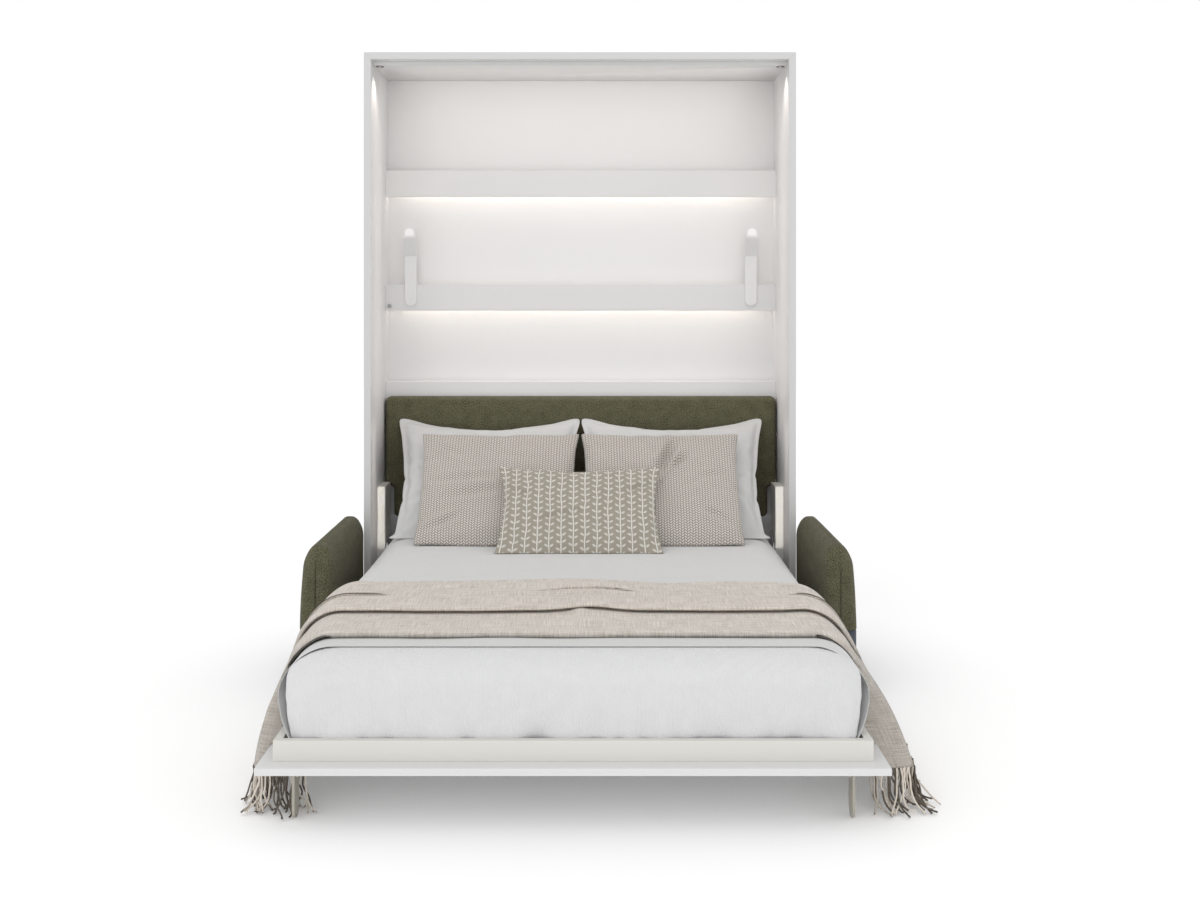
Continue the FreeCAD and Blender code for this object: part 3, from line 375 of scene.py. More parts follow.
# The throw's hanging ends are darkened by painted shade (shade).
add_look(
    cloth, "throw_cloth", (0.82, 0.765, 0.70), (0.50, 0.445, 0.385), 0.0026, 0.7, 0.0011,
    slub=0.8, shade=(0.66, 0.80, 0.67),
)
# Fringe cords: light yarn, and a near-black tone used as painted shade among the cords.
add_look(yarn, "fringe_cord", (0.72, 0.655, 0.575), (0.075, 0.058, 0.042))
add_look(metal, "steel", grey(0.56), 0.34, (4.0, 500.0, 4.0))
add_look(painted, "leg_paint", (0.40, 0.38, 0.32), 0.4)
add_look(painted, "button_face", (0.33, 0.33, 0.325), 0.45)
add_look(painted, "lamp_paint", grey(0.68), 0.4)
add_look(painted, "black_paint", (0.012, 0.012, 0.013), 0.25)
add_look(metal, "chrome", (0.78, 0.78, 0.79), 0.12, grey(30.0))
add_look(metal, "aluminium", (0.78, 0.78, 0.79), 0.3, (4.0, 400.0, 400.0))
add_look(metal, "dark_metal", (0.30, 0.30, 0.31), 0.24, grey(30.0))
add_look(glowing, "light_cover", (0.9, 0.89, 0.87), 0.45)
add_look(glowing, "lamp_cover", grey(0.76), 0.07)
add_look(painted, "black_plastic", grey(0.02), 0.55, 900.0)
add_look(painted, "bearing_plastic", (0.70, 0.67, 0.58), 0.5, 900.0)

# Nodes whose finish differs from the rest of their slot. The darker front edges of the side and top panels
# and the darker ledge lips are painted shade.
FINISHED_AS = {
    "low_rail": "white_board",
    "side_panel_left": "edged_board",
    "side_panel_right": "edged_board",
    "top_panel": "edged_board",
    "ledge_lip_upper": "lip_board",
    "ledge_lip_lower": "lip_board",
    "lamp_diffusers": "lamp_cover",
    "spot_rings": "dark_metal",
    "switch_button": "button_face",
}
SOFT_NODES = {
    "headboard_pad", "arm_pad_left", "arm_pad_right", "arm_frames", "seat_cushion", "mattress", "bed_cover",
    "throw", "pillow_left", "pillow_right", "cushion_left", "cushion_right", "lumbar_cushion",
}


def dress_cad():
    """Every rigid CAD node gets its slot's material and softly broken edges."""
    slot_of = {row["node"]: row["material_slot"] for row in frame["record"]["subparts"]}
    for name, obj in nodes.items():
        if name in SOFT_NODES:
            continue
        obj.data.materials.clear()
        obj.data.materials.append(LOOKS[FINISHED_AS.get(name, slot_of[name])])
        weld = obj.modifiers.new("weld", "WELD")
        weld.merge_threshold = 0.00001
        flat = obj.modifiers.new("flat", "DECIMATE")
        flat.decimate_type = "DISSOLVE"
        flat.angle_limit = math.radians(0.4)
        edge = obj.modifiers.new("edge", "BEVEL")
        edge.width = 0.0007
        edge.segments = 2
        edge.limit_method = "ANGLE"
        edge.angle_limit = math.radians(50)


# ---- mesh helpers


def mesh_piece(name, points, faces, look, uv=None):
    mesh = bpy.data.meshes.new(name)
    mesh.from_pydata([tuple(p) for p in points], [], faces)
    mesh.validate()
    mesh.update()
    mesh.shade_smooth()
    layer = mesh.uv_layers.new(name="UVMap")
    if uv is not None:
        layer.data.foreach_set("uv", np.asarray(uv, np.float32)[corner_points(mesh)].ravel())
    obj = bpy.data.objects.new(name, mesh)
    scene.collection.objects.link(obj)
    obj.data.materials.append(LOOKS[look])
    return obj


def corner_points(mesh):
    """The point at each face corner."""
    corners = np.zeros(len(mesh.loops), np.int32)
    mesh.loops.foreach_get("vertex_index", corners)
    return corners


def coordinates(obj):
    co = np.zeros(len(obj.data.vertices) * 3, np.float32)
    obj.data.vertices.foreach_get("co", co)
    return co.reshape(-1, 3).astype(float)


def set_coordinates(obj, co):
    obj.data.vertices.foreach_set("co", np.asarray(co, np.float32).ravel())
    obj.data.update()


def evaluated_mesh(obj):
    """The mesh of an object as its modifiers or its curve make it."""
    bpy.context.view_layer.update()
    return bpy.data.meshes.new_from_object(obj.evaluated_get(bpy.context.evaluated_depsgraph_get()))


def add_subdivision(obj):
    round_off = obj.modifiers.new("round", "SUBSURF")
    round_off.levels = 1
    round_off.render_levels = 1


def box_uv(obj):
    """UVs in metres from the side of a box that each face points to."""
    mesh = obj.data
    layer = mesh.uv_layers[0]
    for face in mesh.polygons:
        axis = max(range(3), key=lambda i: abs(face.normal[i]))
        pick = ((1, 2), (0, 2), (0, 1))[axis]
        for loop in face.loop_indices:
            co = mesh.vertices[mesh.loops[loop].vertex_index].co
            layer.data[loop].uv = (co[pick[0]], co[pick[1]])


def settle(obj, body, slot, *replaced):
    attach(obj, body)
    if replaced:
        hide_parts(*replaced)


def grid_faces(rows, columns, start=0, flip=False):
    faces = []
    for r in range(rows - 1):
        for c in range(columns - 1):
            a = start + r * columns + c
            quad = (a, a + 1, a + columns + 1, a + columns)
            faces.append(quad[::-1] if flip else quad)
    return faces


def grid_ring(rows, columns):
    """The points round the edge of a grid, in order."""
    ring = list(range(columns))
    ring += [r * columns + columns - 1 for r in range(1, rows)]
    ring += [(rows - 1) * columns + c for c in range(columns - 2, -1, -1)]
    ring += [r * columns for r in range(rows - 2, 0, -1)]
    return ring


def shell_faces(rows, columns):
    """Faces of a closed shell: a grid, a second grid behind it and a rim between them."""
    total = rows * columns
    faces = grid_faces(rows, columns) + grid_faces(rows, columns, total, True)
    ring = grid_ring(rows, columns)
    for a, b in zip(ring, ring[1:] + ring[:1]):
        faces.append((b, a, a + total, b + total))
    return faces


def spaced(low, high, low_r, high_r, cells, turns=5):
    """Positions along one side of a rounded box: even steps between the roundings and even angles in them."""
    angle = [math.tan(math.radians(45) * i / turns) for i in range(turns + 1)]
    middle = np.linspace(low + low_r, high - high_r, cells + 1)
    before = [low + low_r * (1 - a) for a in angle[:0:-1]]
    after = [high - high_r * (1 - a) for a in angle[1:]]
    return np.array(before + list(middle) + after)


def rounded_box(name, low, high, radius, base_radius, cells, look, shape=None, rear=None):
    """A closed box, its edges rounded by radius (x, y, z) on top, base_radius below and rear at the back."""
    low = np.array(low, float)
    high = np.array(high, float)
    top_r = np.array(radius, float)
    low_r = np.array(base_radius, float)
    wide = np.maximum(top_r, low_r)
    lines = [
        spaced(low[0], high[0], wide[0], wide[0], cells[0]),
        spaced(low[1], high[1], wide[1], rear or wide[1], cells[1]),
        spaced(low[2], high[2], low_r[2], top_r[2], cells[2]),
    ]
    index = {}
    points = []
    faces = []

    def point(i, j, k):
        key = (i, j, k)
        if key not in index:
            index[key] = len(points)
            points.append((lines[0][i], lines[1][j], lines[2][k]))
        return index[key]

    last = [len(line) - 1 for line in lines]
    for axis in range(3):
        a, b = [n for n in range(3) if n != axis]
        for end in (0, last[axis]):
            for i in range(last[a]):
                for j in range(last[b]):
                    corners = []
                    for di, dj in ((0, 0), (1, 0), (1, 1), (0, 1)):
                        spot = [0, 0, 0]
                        spot[axis] = end
                        spot[a] = i + di
                        spot[b] = j + dj
                        corners.append(point(*spot))
                    turned = (end == 0) == (axis != 1)
                    faces.append(tuple(corners[::-1] if turned else corners))
    p = np.array(points)
    middle = (low + high) / 2
    part = smooth(low[2], high[2], p[:, 2])[:, None]
    r = low_r + (top_r - low_r) * part
    if rear:
        r[:, 1] = np.where(p[:, 1] > middle[1], rear, r[:, 1])
    inner = np.clip(p, low + r, high - r)
    away = (p - inner) / r
    length = np.linalg.norm(away, axis=1, keepdims=True)
    p = inner + r * away / np.maximum(length, 1e-9)
    if shape is not None:
        p = shape(p, low, high, middle)
    obj = mesh_piece(name, p, faces, look)
    box_uv(obj)
    return obj


# ---- mattress and cover


def make_mattress():
    low = (-0.694, row_y(1.559), 0.1963)
    high = (0.694, row_y(-0.431), 0.4115)

    def shape(p, lo, hi, mid):
        up = (p[:, 2] - lo[2]) / (hi[2] - lo[2])
        level = p[:, 1] * 0
        # Wider above the rails, drawn in between them, and a foot end that bulges over the footboard.
        p[:, 0] *= 1.002 + 0.028 * smooth(0.0, 0.62, up)
        front = smooth(lo[1] + 0.25, lo[1], p[:, 1])
        bulge = 0.009 * np.sin(np.pi * np.clip(up * 1.1, 0, 1)) * (1 - (p[:, 0] / 0.72) ** 4)
        p[:, 1] -= front * bulge
        ruck = wave_noise(np.column_stack((p[:, 0], level, p[:, 2] * 0.25)), 26.0, 3.1)
        swell = wave_noise(np.column_stack((p[:, 0], level, p[:, 2])), 7.0, 5.3)
        pulls = wave_noise(np.column_stack((p[:, 0], level, p[:, 2] * 0.5)), 11.0, 6.2)
        tuck = smooth(0.46, 0.04, up) * (0.7 * np.maximum(ruck, -0.25) + 0.9 * pulls)
        face = smooth(lo[1] + 0.05, lo[1] + 0.005, p[:, 1])
        p[:, 1] += face * (0.0115 * tuck + 0.0035 * swell)
        dips = wave_noise(p * np.array((1.0, 1.0, 0.3)), 34.0, 8.4)
        p[:, 2] += 0.007 * face * smooth(0.22, 0.0, up) * np.maximum(dips, 0.0)
        return p

    top_radius = (0.130, 0.085, 0.078)
    base_radius = (0.020, 0.014, 0.02)
    cells = (170, 60, 18)
    obj = rounded_box("mattress_sheet", low, high, top_radius, base_radius, cells, "ribbed_cloth", shape)
    settle(obj, "bed", "white_cloth", "mattress")


def cloth_path(half, top, radius, leave, fall):
    """Half profile of cloth over the mattress: length along it to (x, z, normal x, normal z)."""
    flat = half - radius
    arc = radius * math.radians(leave)
    tangent = (math.cos(math.radians(leave)), -math.sin(math.radians(leave)))

    def at(s):
        if s <= flat:
            return s, top, 0.0, 1.0
        a = min((s - flat) / radius, math.radians(leave))
        past = max(0.0, s - flat - arc)
        x = flat + radius * math.sin(a) + past * tangent[0]
        z = top - radius + radius * math.cos(a) + past * tangent[1]
        return x, z, math.sin(a), math.cos(a)

    return at, flat, arc, flat + arc + fall


def path_steps(flat, arc, whole, counts):
    """Steps along a cloth path from edge to edge: up one fall, round the shoulder, over the top and down."""
    half = (
        np.linspace(0, flat, counts[0]),
        flat + np.linspace(0, arc, counts[1])[1:],
        np.linspace(flat + arc, whole, counts[2])[1:],
    )
    half = np.concatenate(half)
    return np.concatenate((-half[:0:-1], half))


def make_cover():
    """White quilt cover, laid over the mattress and pushed down inside the rails."""
    at, flat, arc, whole = cloth_path(half=0.7245, top=COVER_TOP, radius=0.112, leave=90, fall=0.102)
    across = path_steps(flat, arc, whole, (40, 11, 9))
    fine = np.concatenate((np.linspace(COVER_REAR, 1.40, 84), np.linspace(1.40, COVER_FRONT, 16)[1:]))
    points = []
    uv = []
    for f in fine:
        hem = ease(COVER_FRONT - 0.06, COVER_FRONT, f)
        for s in across:
            x, z, nx, nz = at(abs(s))
            sign = 1 if s >= 0 else -1
            past = max(0.0, abs(s) - flat - arc) / (whole - flat - arc)
            sag = noise_at(x * sign * 2.2, f * 5.0, 0.4) + 0.5 * noise_at(x * sign * 6.0, f * 13.0, 1.7)
            ripple = noise_at(f * 9.0, sign * 3.0, past)
            lift = -0.0024 + 0.0024 * float(np.clip(sag, -1, 1)) * (1 - hem) - 0.0050 * hem
            lift -= 0.015 * nx * nz * hem * (1.0 if sign > 0 else 0.4)
            # The front corner stands out above the rail and goes in behind it.
            flare = 0.021 * hem * (1 - nz) * (1 - 1.25 * past**2)
            flare *= 1 + 0.3 * noise_at(past * 6.0, sign * 2.0, 4.0)
            x_out = (x + nx * lift - 0.022 * past**1.5 + 0.002 * past * ripple + flare) * sign
            ahead = 0.085 * past * ease(COVER_FRONT - 0.11, COVER_FRONT, f)
            points.append((x_out, row_y(f + ahead + 0.003 * past * ripple), z + nz * lift))
            uv.append((s, f))
    obj = mesh_piece("bed_cover_cloth", points, grid_faces(len(fine), len(across)), "white_cloth", uv)
    thick = obj.modifiers.new("thick", "SOLIDIFY")
    thick.thickness = 0.0018
    thick.offset = -1.0
    add_subdivision(obj)
    settle(obj, "bed", "white_cloth", "bed_cover")


# ---- throw

THROW_TOP = 0.4330
THROW_THICK = 0.0045
THROW_FAR = 0.894
THROW_NEAR = 1.414
# Forward and height above THROW_TOP of the folded throw, from the far edge over the fold to the near edge.
THROW_PROFILE = (
    (0.901, -0.0076), (0.8935, -0.003), (0.8945, 0.009), (0.905, 0.0165), (0.93, 0.0188),
    *((0.95 + 0.01 * k, 0.0195) for k in range(23)),
    (1.195, 0.0192), (1.211, 0.0176), (1.2205, 0.0140), (1.2235, 0.0098), (1.2200, 0.0064), (1.209, 0.0050),
    (1.195, 0.0040), (1.190, 0.0012), (1.197, -0.0012), (1.215, -0.0014), (1.235, -0.0006), (1.30, 0.0010),
    (1.352, 0.0006), (1.386, 0.0001), (1.404, -0.0012), (1.4145, -0.0042), (1.4165, -0.0068),
    (1.412, -0.0086),
)
# The step of the smoothed profile from which the lower layer runs.
LOWER_LAYER = 4 * 34
# How far the near edge of each hanging end turns in towards the bed, by the share of the fall.
TURNS_IN = {
    1: (
        (0, 0.001), (0.12, 0.022), (0.25, 0.040), (0.35, 0.058), (0.5, 0.085),
        (0.66, 0.088), (0.76, 0.088), (0.79, 0.076), (0.92, 0.082), (1, 0.115),
    ),
    -1: (
        (0, 0.001), (0.12, 0.020), (0.25, 0.036), (0.5, 0.050), (0.64, 0.055),
        (0.69, 0.050), (0.72, 0.030), (0.80, 0.033), (0.90, 0.055), (1, 0.130),
    ),
}


def throw_shift(x, f):
    """How far the throw's edges and its fold wander from straight lines, forward at x across the bed."""
    far = -0.030 * bell(x, -0.03, 0.20) + 0.024 * bell(x, 0.27, 0.13) + 0.020 * bell(x, 0.66, 0.14)
    far += 0.010 * noise_at(x * 8.0, 0.4, 2.2)
    fold = -0.042 * bell(x, 0.04, 0.085) - 0.016 * bell(x, 0.62, 0.045)
    fold += 0.006 * noise_at(x * 5.0, 1.4, 3.1)
    near = 0.009 * noise_at(x * 4.0, 2.4, 0.7)
    far *= ease(1.06, 0.92, f)
    fold *= float(smooth(1.04, 1.17, f) * smooth(1.36, 1.25, f))
    return far + fold + near * ease(1.32, 1.41, f)


def throw_pleats(x, f):
    """Forward and upward moves of the surface at the short pleats: a lip that hangs over a groove."""
    middle = 1.012 + 0.055 * np.clip(-x / 0.17, 0, 1) ** 1.3
    middle += 0.031 * np.clip((x - 0.05) / 0.105, 0, 1) ** 1.5
    lines = (
        (1.090, ease(0.50, 0.58, -x)),
        (1.090, ease(0.58, 0.66, x)),
        (float(middle), float(0.8 * smooth(-0.17, 0.0, x) * smooth(0.18, 0.13, x))),
    )
    ahead = 0.0
    rise = 0.0
    for place, share in lines:
        past = f - place
        if past < 0:
            ahead += share * 0.009 * math.exp(past / 0.006)
            rise += share * 0.0042 * math.exp(past / 0.030)
        else:
            groove = share * bell(past, 0.003, 0.0042)
            ahead -= 0.004 * groove
            rise -= 0.0060 * groove
    return ahead, rise


def curve_through(rows, steps):
    """Catmull-Rom points through the rows, a few steps to each."""
    p = np.array(rows, float)
    p = np.vstack((2 * p[0] - p[1], p, 2 * p[-1] - p[-2]))
    out = []
    for a, b, c, d in zip(p, p[1:], p[2:], p[3:]):
        for k in range(steps):
            t = k / steps
            bend = (2 * a - 5 * b + 4 * c - d) * t**2 + (3 * b - a - 3 * c + d) * t**3
            out.append(0.5 * (2 * b + (c - a) * t + bend))
    out.append(p[-2])
    return np.array(out)


def make_throw():
    """Folded throw across the bed: a band on top and an end with a fringe that hangs out on each side."""
    shared = {"top": THROW_TOP, "radius": 0.110, "fall": 0.302}
    at, flat, arc, whole = cloth_path(half=0.7335, leave=62, **shared)
    at_left, flat_left, arc_left, _ = cloth_path(half=0.7425, leave=75.0, **shared)
    profile = curve_through(THROW_PROFILE, 4)
    spread_out = np.linspace(profile[0, 0], profile[-1, 0], len(profile))
    across = path_steps(flat, arc, whole, (64, 12, 40))
    flap_steps = 9
    count = len(profile) + flap_steps
    points = np.zeros((len(across), count, 3))
    uv = np.zeros((len(across), count, 2))
    along = np.concatenate(([0.0], np.cumsum(np.linalg.norm(np.diff(profile, axis=0), axis=1))))
    for i, s in enumerate(across):
        sign = 1 if s >= 0 else -1
        straight = flat + arc if sign > 0 else flat_left + arc_left
        q = max(0.0, abs(s) - straight) / (whole - straight)
        x, z, nx, nz = at(abs(s)) if sign > 0 else at_left(abs(s))
        hang = ease(0.0, 1.0, q)
        fade = ease(0.0, 0.45, q)
        turn = float(np.interp(q, *zip(*TURNS_IN[sign])))
        belly = 0.0135 * math.sin(math.pi * q)
        for j in range(count):
            k = min(j, len(profile) - 1)
            f, lift = profile[k]
            # The raised fold fades out down the hanging ends.
            f += (spread_out[k] - f) * fade
            lift *= 1 - 0.9 * fade
            part = (f - THROW_FAR) / (THROW_NEAR - THROW_FAR)
            on_top = ease(0.90, 0.92, f)
            pleat, rise = throw_pleats(x * sign, f)
            lift += rise * on_top
            lift += 0.006 * bell(x * sign, 0.012, 0.022) * bell(f, 1.212, 0.030) * (k > LOWER_LAYER)
            lift -= 0.020 * nx * nz * (1 - q) ** 2 * ease(1.36, 1.412, f)
            f_here = f + pleat * on_top + throw_shift(x * sign, f) * (1 - 0.6 * hang)
            f_here += hang * (0.018 * (1 - part) + 0.050 * part)
            sway = noise_at(s * 7.0, f * 11.0, 0.0)
            lift += 0.0016 * sway * float(smooth(0.905, 0.95, f) * smooth(1.406, 1.366, f))
            folds = 0.5 * math.sin(f * 38.0 + 1.2 * sign + 1.5 * q) + 0.5 * math.sin(f * 71.0 + 0.7 - 2.0 * q)
            lift += hang * 0.009 * folds
            x_here = x + nx * (lift + belly)
            z_here = z + nz * (lift + belly)
            step = max(0, j - len(profile) + 1) / flap_steps
            if step:
                x_here -= turn * step
                f_here += 0.010 * math.sin(step * math.pi * 0.75) + 0.003
            points[i, j] = (x_here * sign, row_y(f_here), z_here)
            uv[i, j] = (s, along[k] + step * turn)
    cut = flat + arc * 0.55
    left = [i for i, s in enumerate(across) if s <= -cut]
    right = [i for i, s in enumerate(across) if s >= cut]
    middle = list(range(left[-1], right[0] + 1))
    normals = sheet_normals(points)
    pieces = []
    for name, rows in (("throw_band", middle), ("throw_end_left", left), ("throw_end_right", right)):
        block = points[rows].reshape(-1, 3)
        outward = normals[rows].reshape(-1, 3)
        both = np.vstack((block, block - outward * THROW_THICK))
        double_uv = np.vstack((uv[rows].reshape(-1, 2),) * 2)
        obj = mesh_piece(name, both, shell_faces(len(rows), count), "throw_cloth", double_uv)
        obj.data.normals_split_custom_set_from_vertices(np.vstack((outward, -outward)))
        pieces.append(obj)
    fringes = [make_fringe("fringe_left", points[0], -1), make_fringe("fringe_right", points[-1], 1)]
    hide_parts("throw")
    for obj in pieces + fringes:
        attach(obj, "bed")
    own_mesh(pieces[0])
    for obj, fringe, sign in zip(pieces[1:], fringes, (-1, 1)):
        for piece in (obj, fringe):
            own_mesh(piece)


def sheet_normals(points):
    """Unit normals of a grid of points, pointing up or outwards."""
    du = np.gradient(points, axis=0)
    dv = np.gradient(points, axis=1)
    n = np.cross(dv, du)
    n /= np.maximum(np.linalg.norm(n, axis=2, keepdims=True), 1e-12)
    if np.median(n[n.shape[0] // 2, :, 2]) < 0:
        n = -n
    return n


def make_fringe(name, hem, sign):
    """Twisted cords of two strands that hang from a hem line and end on the floor."""
    draw = np.random.default_rng(11 if sign < 0 else 12)
    steps = np.linalg.norm(np.diff(hem, axis=0), axis=1)
    along = np.concatenate(([0.0], np.cumsum(steps)))
    curve = bpy.data.curves.new(name, "CURVE")
    curve.dimensions = "3D"
    curve.bevel_depth = 0.0022
    curve.bevel_resolution = 1
    curve.resolution_u = 3
    count = 104
    marks = 9
    yarn_and_shade_tones = []
    for i in range(count):
        here = ((i + 0.5 + draw.uniform(-0.3, 0.3)) / count) ** 0.75 * along[-1]
        start = np.array([np.interp(here, along, hem[:, k]) for k in range(3)])
        length = draw.uniform(0.098, 0.130)
        out = draw.normal(0.014, 0.015) if sign > 0 else draw.normal(-0.004, 0.011)
        side = draw.normal(-0.012, 0.020)
        curl = draw.uniform(-0.010, 0.010)
        bends = draw.uniform(4.0, 8.0)
        turn = draw.uniform(0.0, 6.28)
        # Per cord tone: the light tones are the yarn, the darkest ones paint the shade among the cords.
        tone = draw.choice((0.95, 0.9, 0.6, 0.1, 0.0, 0.0))
        floor = draw.uniform(0.004, 0.016)
        for strand in range(2):
            yarn_and_shade_tones.append(tone)
            spline = curve.splines.new("NURBS")
            spline.points.add(marks - 1)
            phase = draw.uniform(0, 6.28) + strand * math.pi
            for m in range(marks):
                t = m / (marks - 1)
                z = start[2] + 0.003 - length * t
                spread = 0.3 * t + 0.7 * t**3
                sway = curl * min(1.0, 2.2 * t)
                x = start[0] + sign * out * spread + sway * math.sin(t * bends + turn)
                y = start[1] + side * spread + sway * math.sin(t * (bends - 1.0) + turn + 1.0)
                near = smooth(0.034, 0.0, z)
                x += sign * 0.012 * near * (1.0 if out > 0 else -1.0)
                y -= 0.016 * near
                twist = 0.0013 * (1 - 0.3 * t)
                x += twist * math.cos(phase + t * 16.0)
                y += twist * math.sin(phase + t * 16.0)
                spline.points[m].co = (x, y, max(z, floor), 1.0)
            spline.order_u = 3
            spline.use_endpoint_u = True
    maker = bpy.data.objects.new(name + "_line", curve)
    scene.collection.objects.link(maker)
    mesh = evaluated_mesh(maker)
    bpy.data.objects.remove(maker)
    obj = bpy.data.objects.new(name, mesh)
    scene.collection.objects.link(obj)
    mesh.materials.clear()
    mesh.materials.append(LOOKS["fringe_cord"])
    mesh.shade_smooth()
    layer = mesh.uv_layers[0] if mesh.uv_layers else mesh.uv_layers.new(name="UVMap")
    corners = corner_points(mesh)
    cord = corners // (len(mesh.vertices) // len(yarn_and_shade_tones))
    uv = np.column_stack((np.array(yarn_and_shade_tones)[cord], corners * 0.0))
    layer.data.foreach_set("uv", uv.astype(np.float32).ravel())
    return obj


# ---- pillows and cushions

# Width, height, half thickness, sags (top, bottom, side), look, lean in degrees, cells, sewn border, how much
# wider the top is than the middle, and the depth of the soft dents.
Form = namedtuple("Form", "wide tall half sag look lean cells border taper dents")
PILLOW = Form(0.664, 0.566, 0.053, (0.075, -0.06, 0.02), "pillow_cloth", 44, (52, 42), 0.016, 0.058, 0.008)
CUSHION = Form(0.560, 0.492, 0.043, (-0.02, -0.06, -0.005), "weave_cloth", 46, (60, 54), 0.0, 0.02, 0.009)
LUMBAR = Form(0.566, 0.362, 0.038, (0.04, -0.04, 0.03), "print_cloth", 44, (56, 36), 0.0, 0.0, 0.008)
# Piece, node, form and creases: two ends in half widths and half heights, width and depth.
STUFFED = (
    ("pillow_left_case", "pillow_left", PILLOW, (
        (-0.95, 0.25, -0.55, 0.02, 0.011, 0.010), (-0.97, -0.45, -0.6, -0.30, 0.011, 0.009),
        (-0.9, 0.75, -0.62, 0.45, 0.011, 0.008))),
    ("pillow_right_case", "pillow_right", PILLOW, (
        (0.97, 0.1, 0.58, -0.05, 0.011, 0.010), (0.95, 0.62, 0.62, 0.38, 0.011, 0.009),
        (0.96, -0.5, 0.65, -0.25, 0.011, 0.008))),
    ("cushion_left_case", "cushion_left", CUSHION, (
        (-0.80, 0.02, -0.05, 0.10, 0.015, 0.008), (-0.92, -0.80, -0.45, -0.55, 0.013, 0.010),
        (-0.6, -0.25, 0.1, -0.12, 0.016, 0.006), (-0.85, 0.8, -0.5, 0.5, 0.013, 0.007))),
    ("cushion_right_case", "cushion_right", CUSHION, (
        (0.24, 1.0, -0.07, 0.04, 0.017, 0.027), (0.33, 0.52, 0.02, 0.10, 0.011, 0.014),
        (0.92, -0.74, 0.5, -0.45, 0.014, 0.010), (0.88, 0.25, 0.45, 0.05, 0.015, 0.006))),
    ("lumbar_case", "lumbar_cushion", LUMBAR, (
        (-0.6, -0.3, 0.1, -0.15, 0.009, 0.007), (0.92, 0.6, 0.55, 0.3, 0.008, 0.009),
        (-0.93, 0.5, -0.6, 0.2, 0.008, 0.009))),
)


def pouch(name, form, seed):
    """Two sewn panels, almost flat, with corners that stand out; x across, y up and z to the front."""
    nx, ny = form.cells
    wide = form.wide - 2 * form.border
    tall = form.tall - 2 * form.border
    top_sag, low_sag, side_sag = form.sag
    u = np.linspace(-1, 1, nx + 1)
    v = np.linspace(-1, 1, ny + 1)
    points = []
    uv = []
    ids = {}
    for side in (1, -1):
        for j in range(ny + 1):
            for i in range(nx + 1):
                rim = i in (0, nx) or j in (0, ny)
                if rim and side < 0:
                    ids[side, i, j] = ids[1, i, j]
                    continue
                a, b = u[i], v[j]
                x = wide / 2 * a * (1 - side_sag * (1 - b * b) * abs(a))
                y = tall / 2 * b * (1 - (top_sag if b > 0 else low_sag) * (1 - a * a) * abs(b))
                z = 0.0 if rim else side * (0.006 + 0.016 * (1 - a**4) * (1 - b**4))
                bump = 0.0 if rim else 0.0015 * noise_at(x * 22, y * 22, seed + side)
                ids[side, i, j] = len(points)
                points.append((x, y, z + bump))
                uv.append((a * wide / 2, b * tall / 2))
    faces = []
    for side in (1, -1):
        for j in range(ny):
            for i in range(nx):
                quad = (ids[side, i, j], ids[side, i + 1, j], ids[side, i + 1, j + 1], ids[side, i, j + 1])
                faces.append(quad if side > 0 else quad[::-1])
    return mesh_piece(name, points, faces, form.look, uv)


def inflate(objects, pressure, frames):
    """Blow the pouches up as cloth, together, and keep the result in their meshes."""
    for obj in objects:
        cloth_sim = obj.modifiers.new("cloth", "CLOTH")
        settings = cloth_sim.settings
        settings.quality = 5
        settings.mass = 0.25
        settings.tension_stiffness = 30
        settings.compression_stiffness = 30
        settings.shear_stiffness = 9
        settings.bending_stiffness = 0.25
        settings.use_pressure = True
        settings.uniform_pressure_force = pressure
        settings.effector_weights.gravity = 0
        cloth_sim.collision_settings.use_collision = False
        cloth_sim.collision_settings.use_self_collision = False
    for number in range(1, frames + 1):
        scene.frame_set(number)
    graph = bpy.context.evaluated_depsgraph_get()
    for obj in objects:
        result = obj.evaluated_get(graph).to_mesh()
        co = np.zeros(len(result.vertices) * 3, np.float32)
        result.vertices.foreach_get("co", co)
        obj.evaluated_get(graph).to_mesh_clear()
        obj.modifiers.remove(obj.modifiers["cloth"])
        set_coordinates(obj, co)
    scene.frame_set(1)


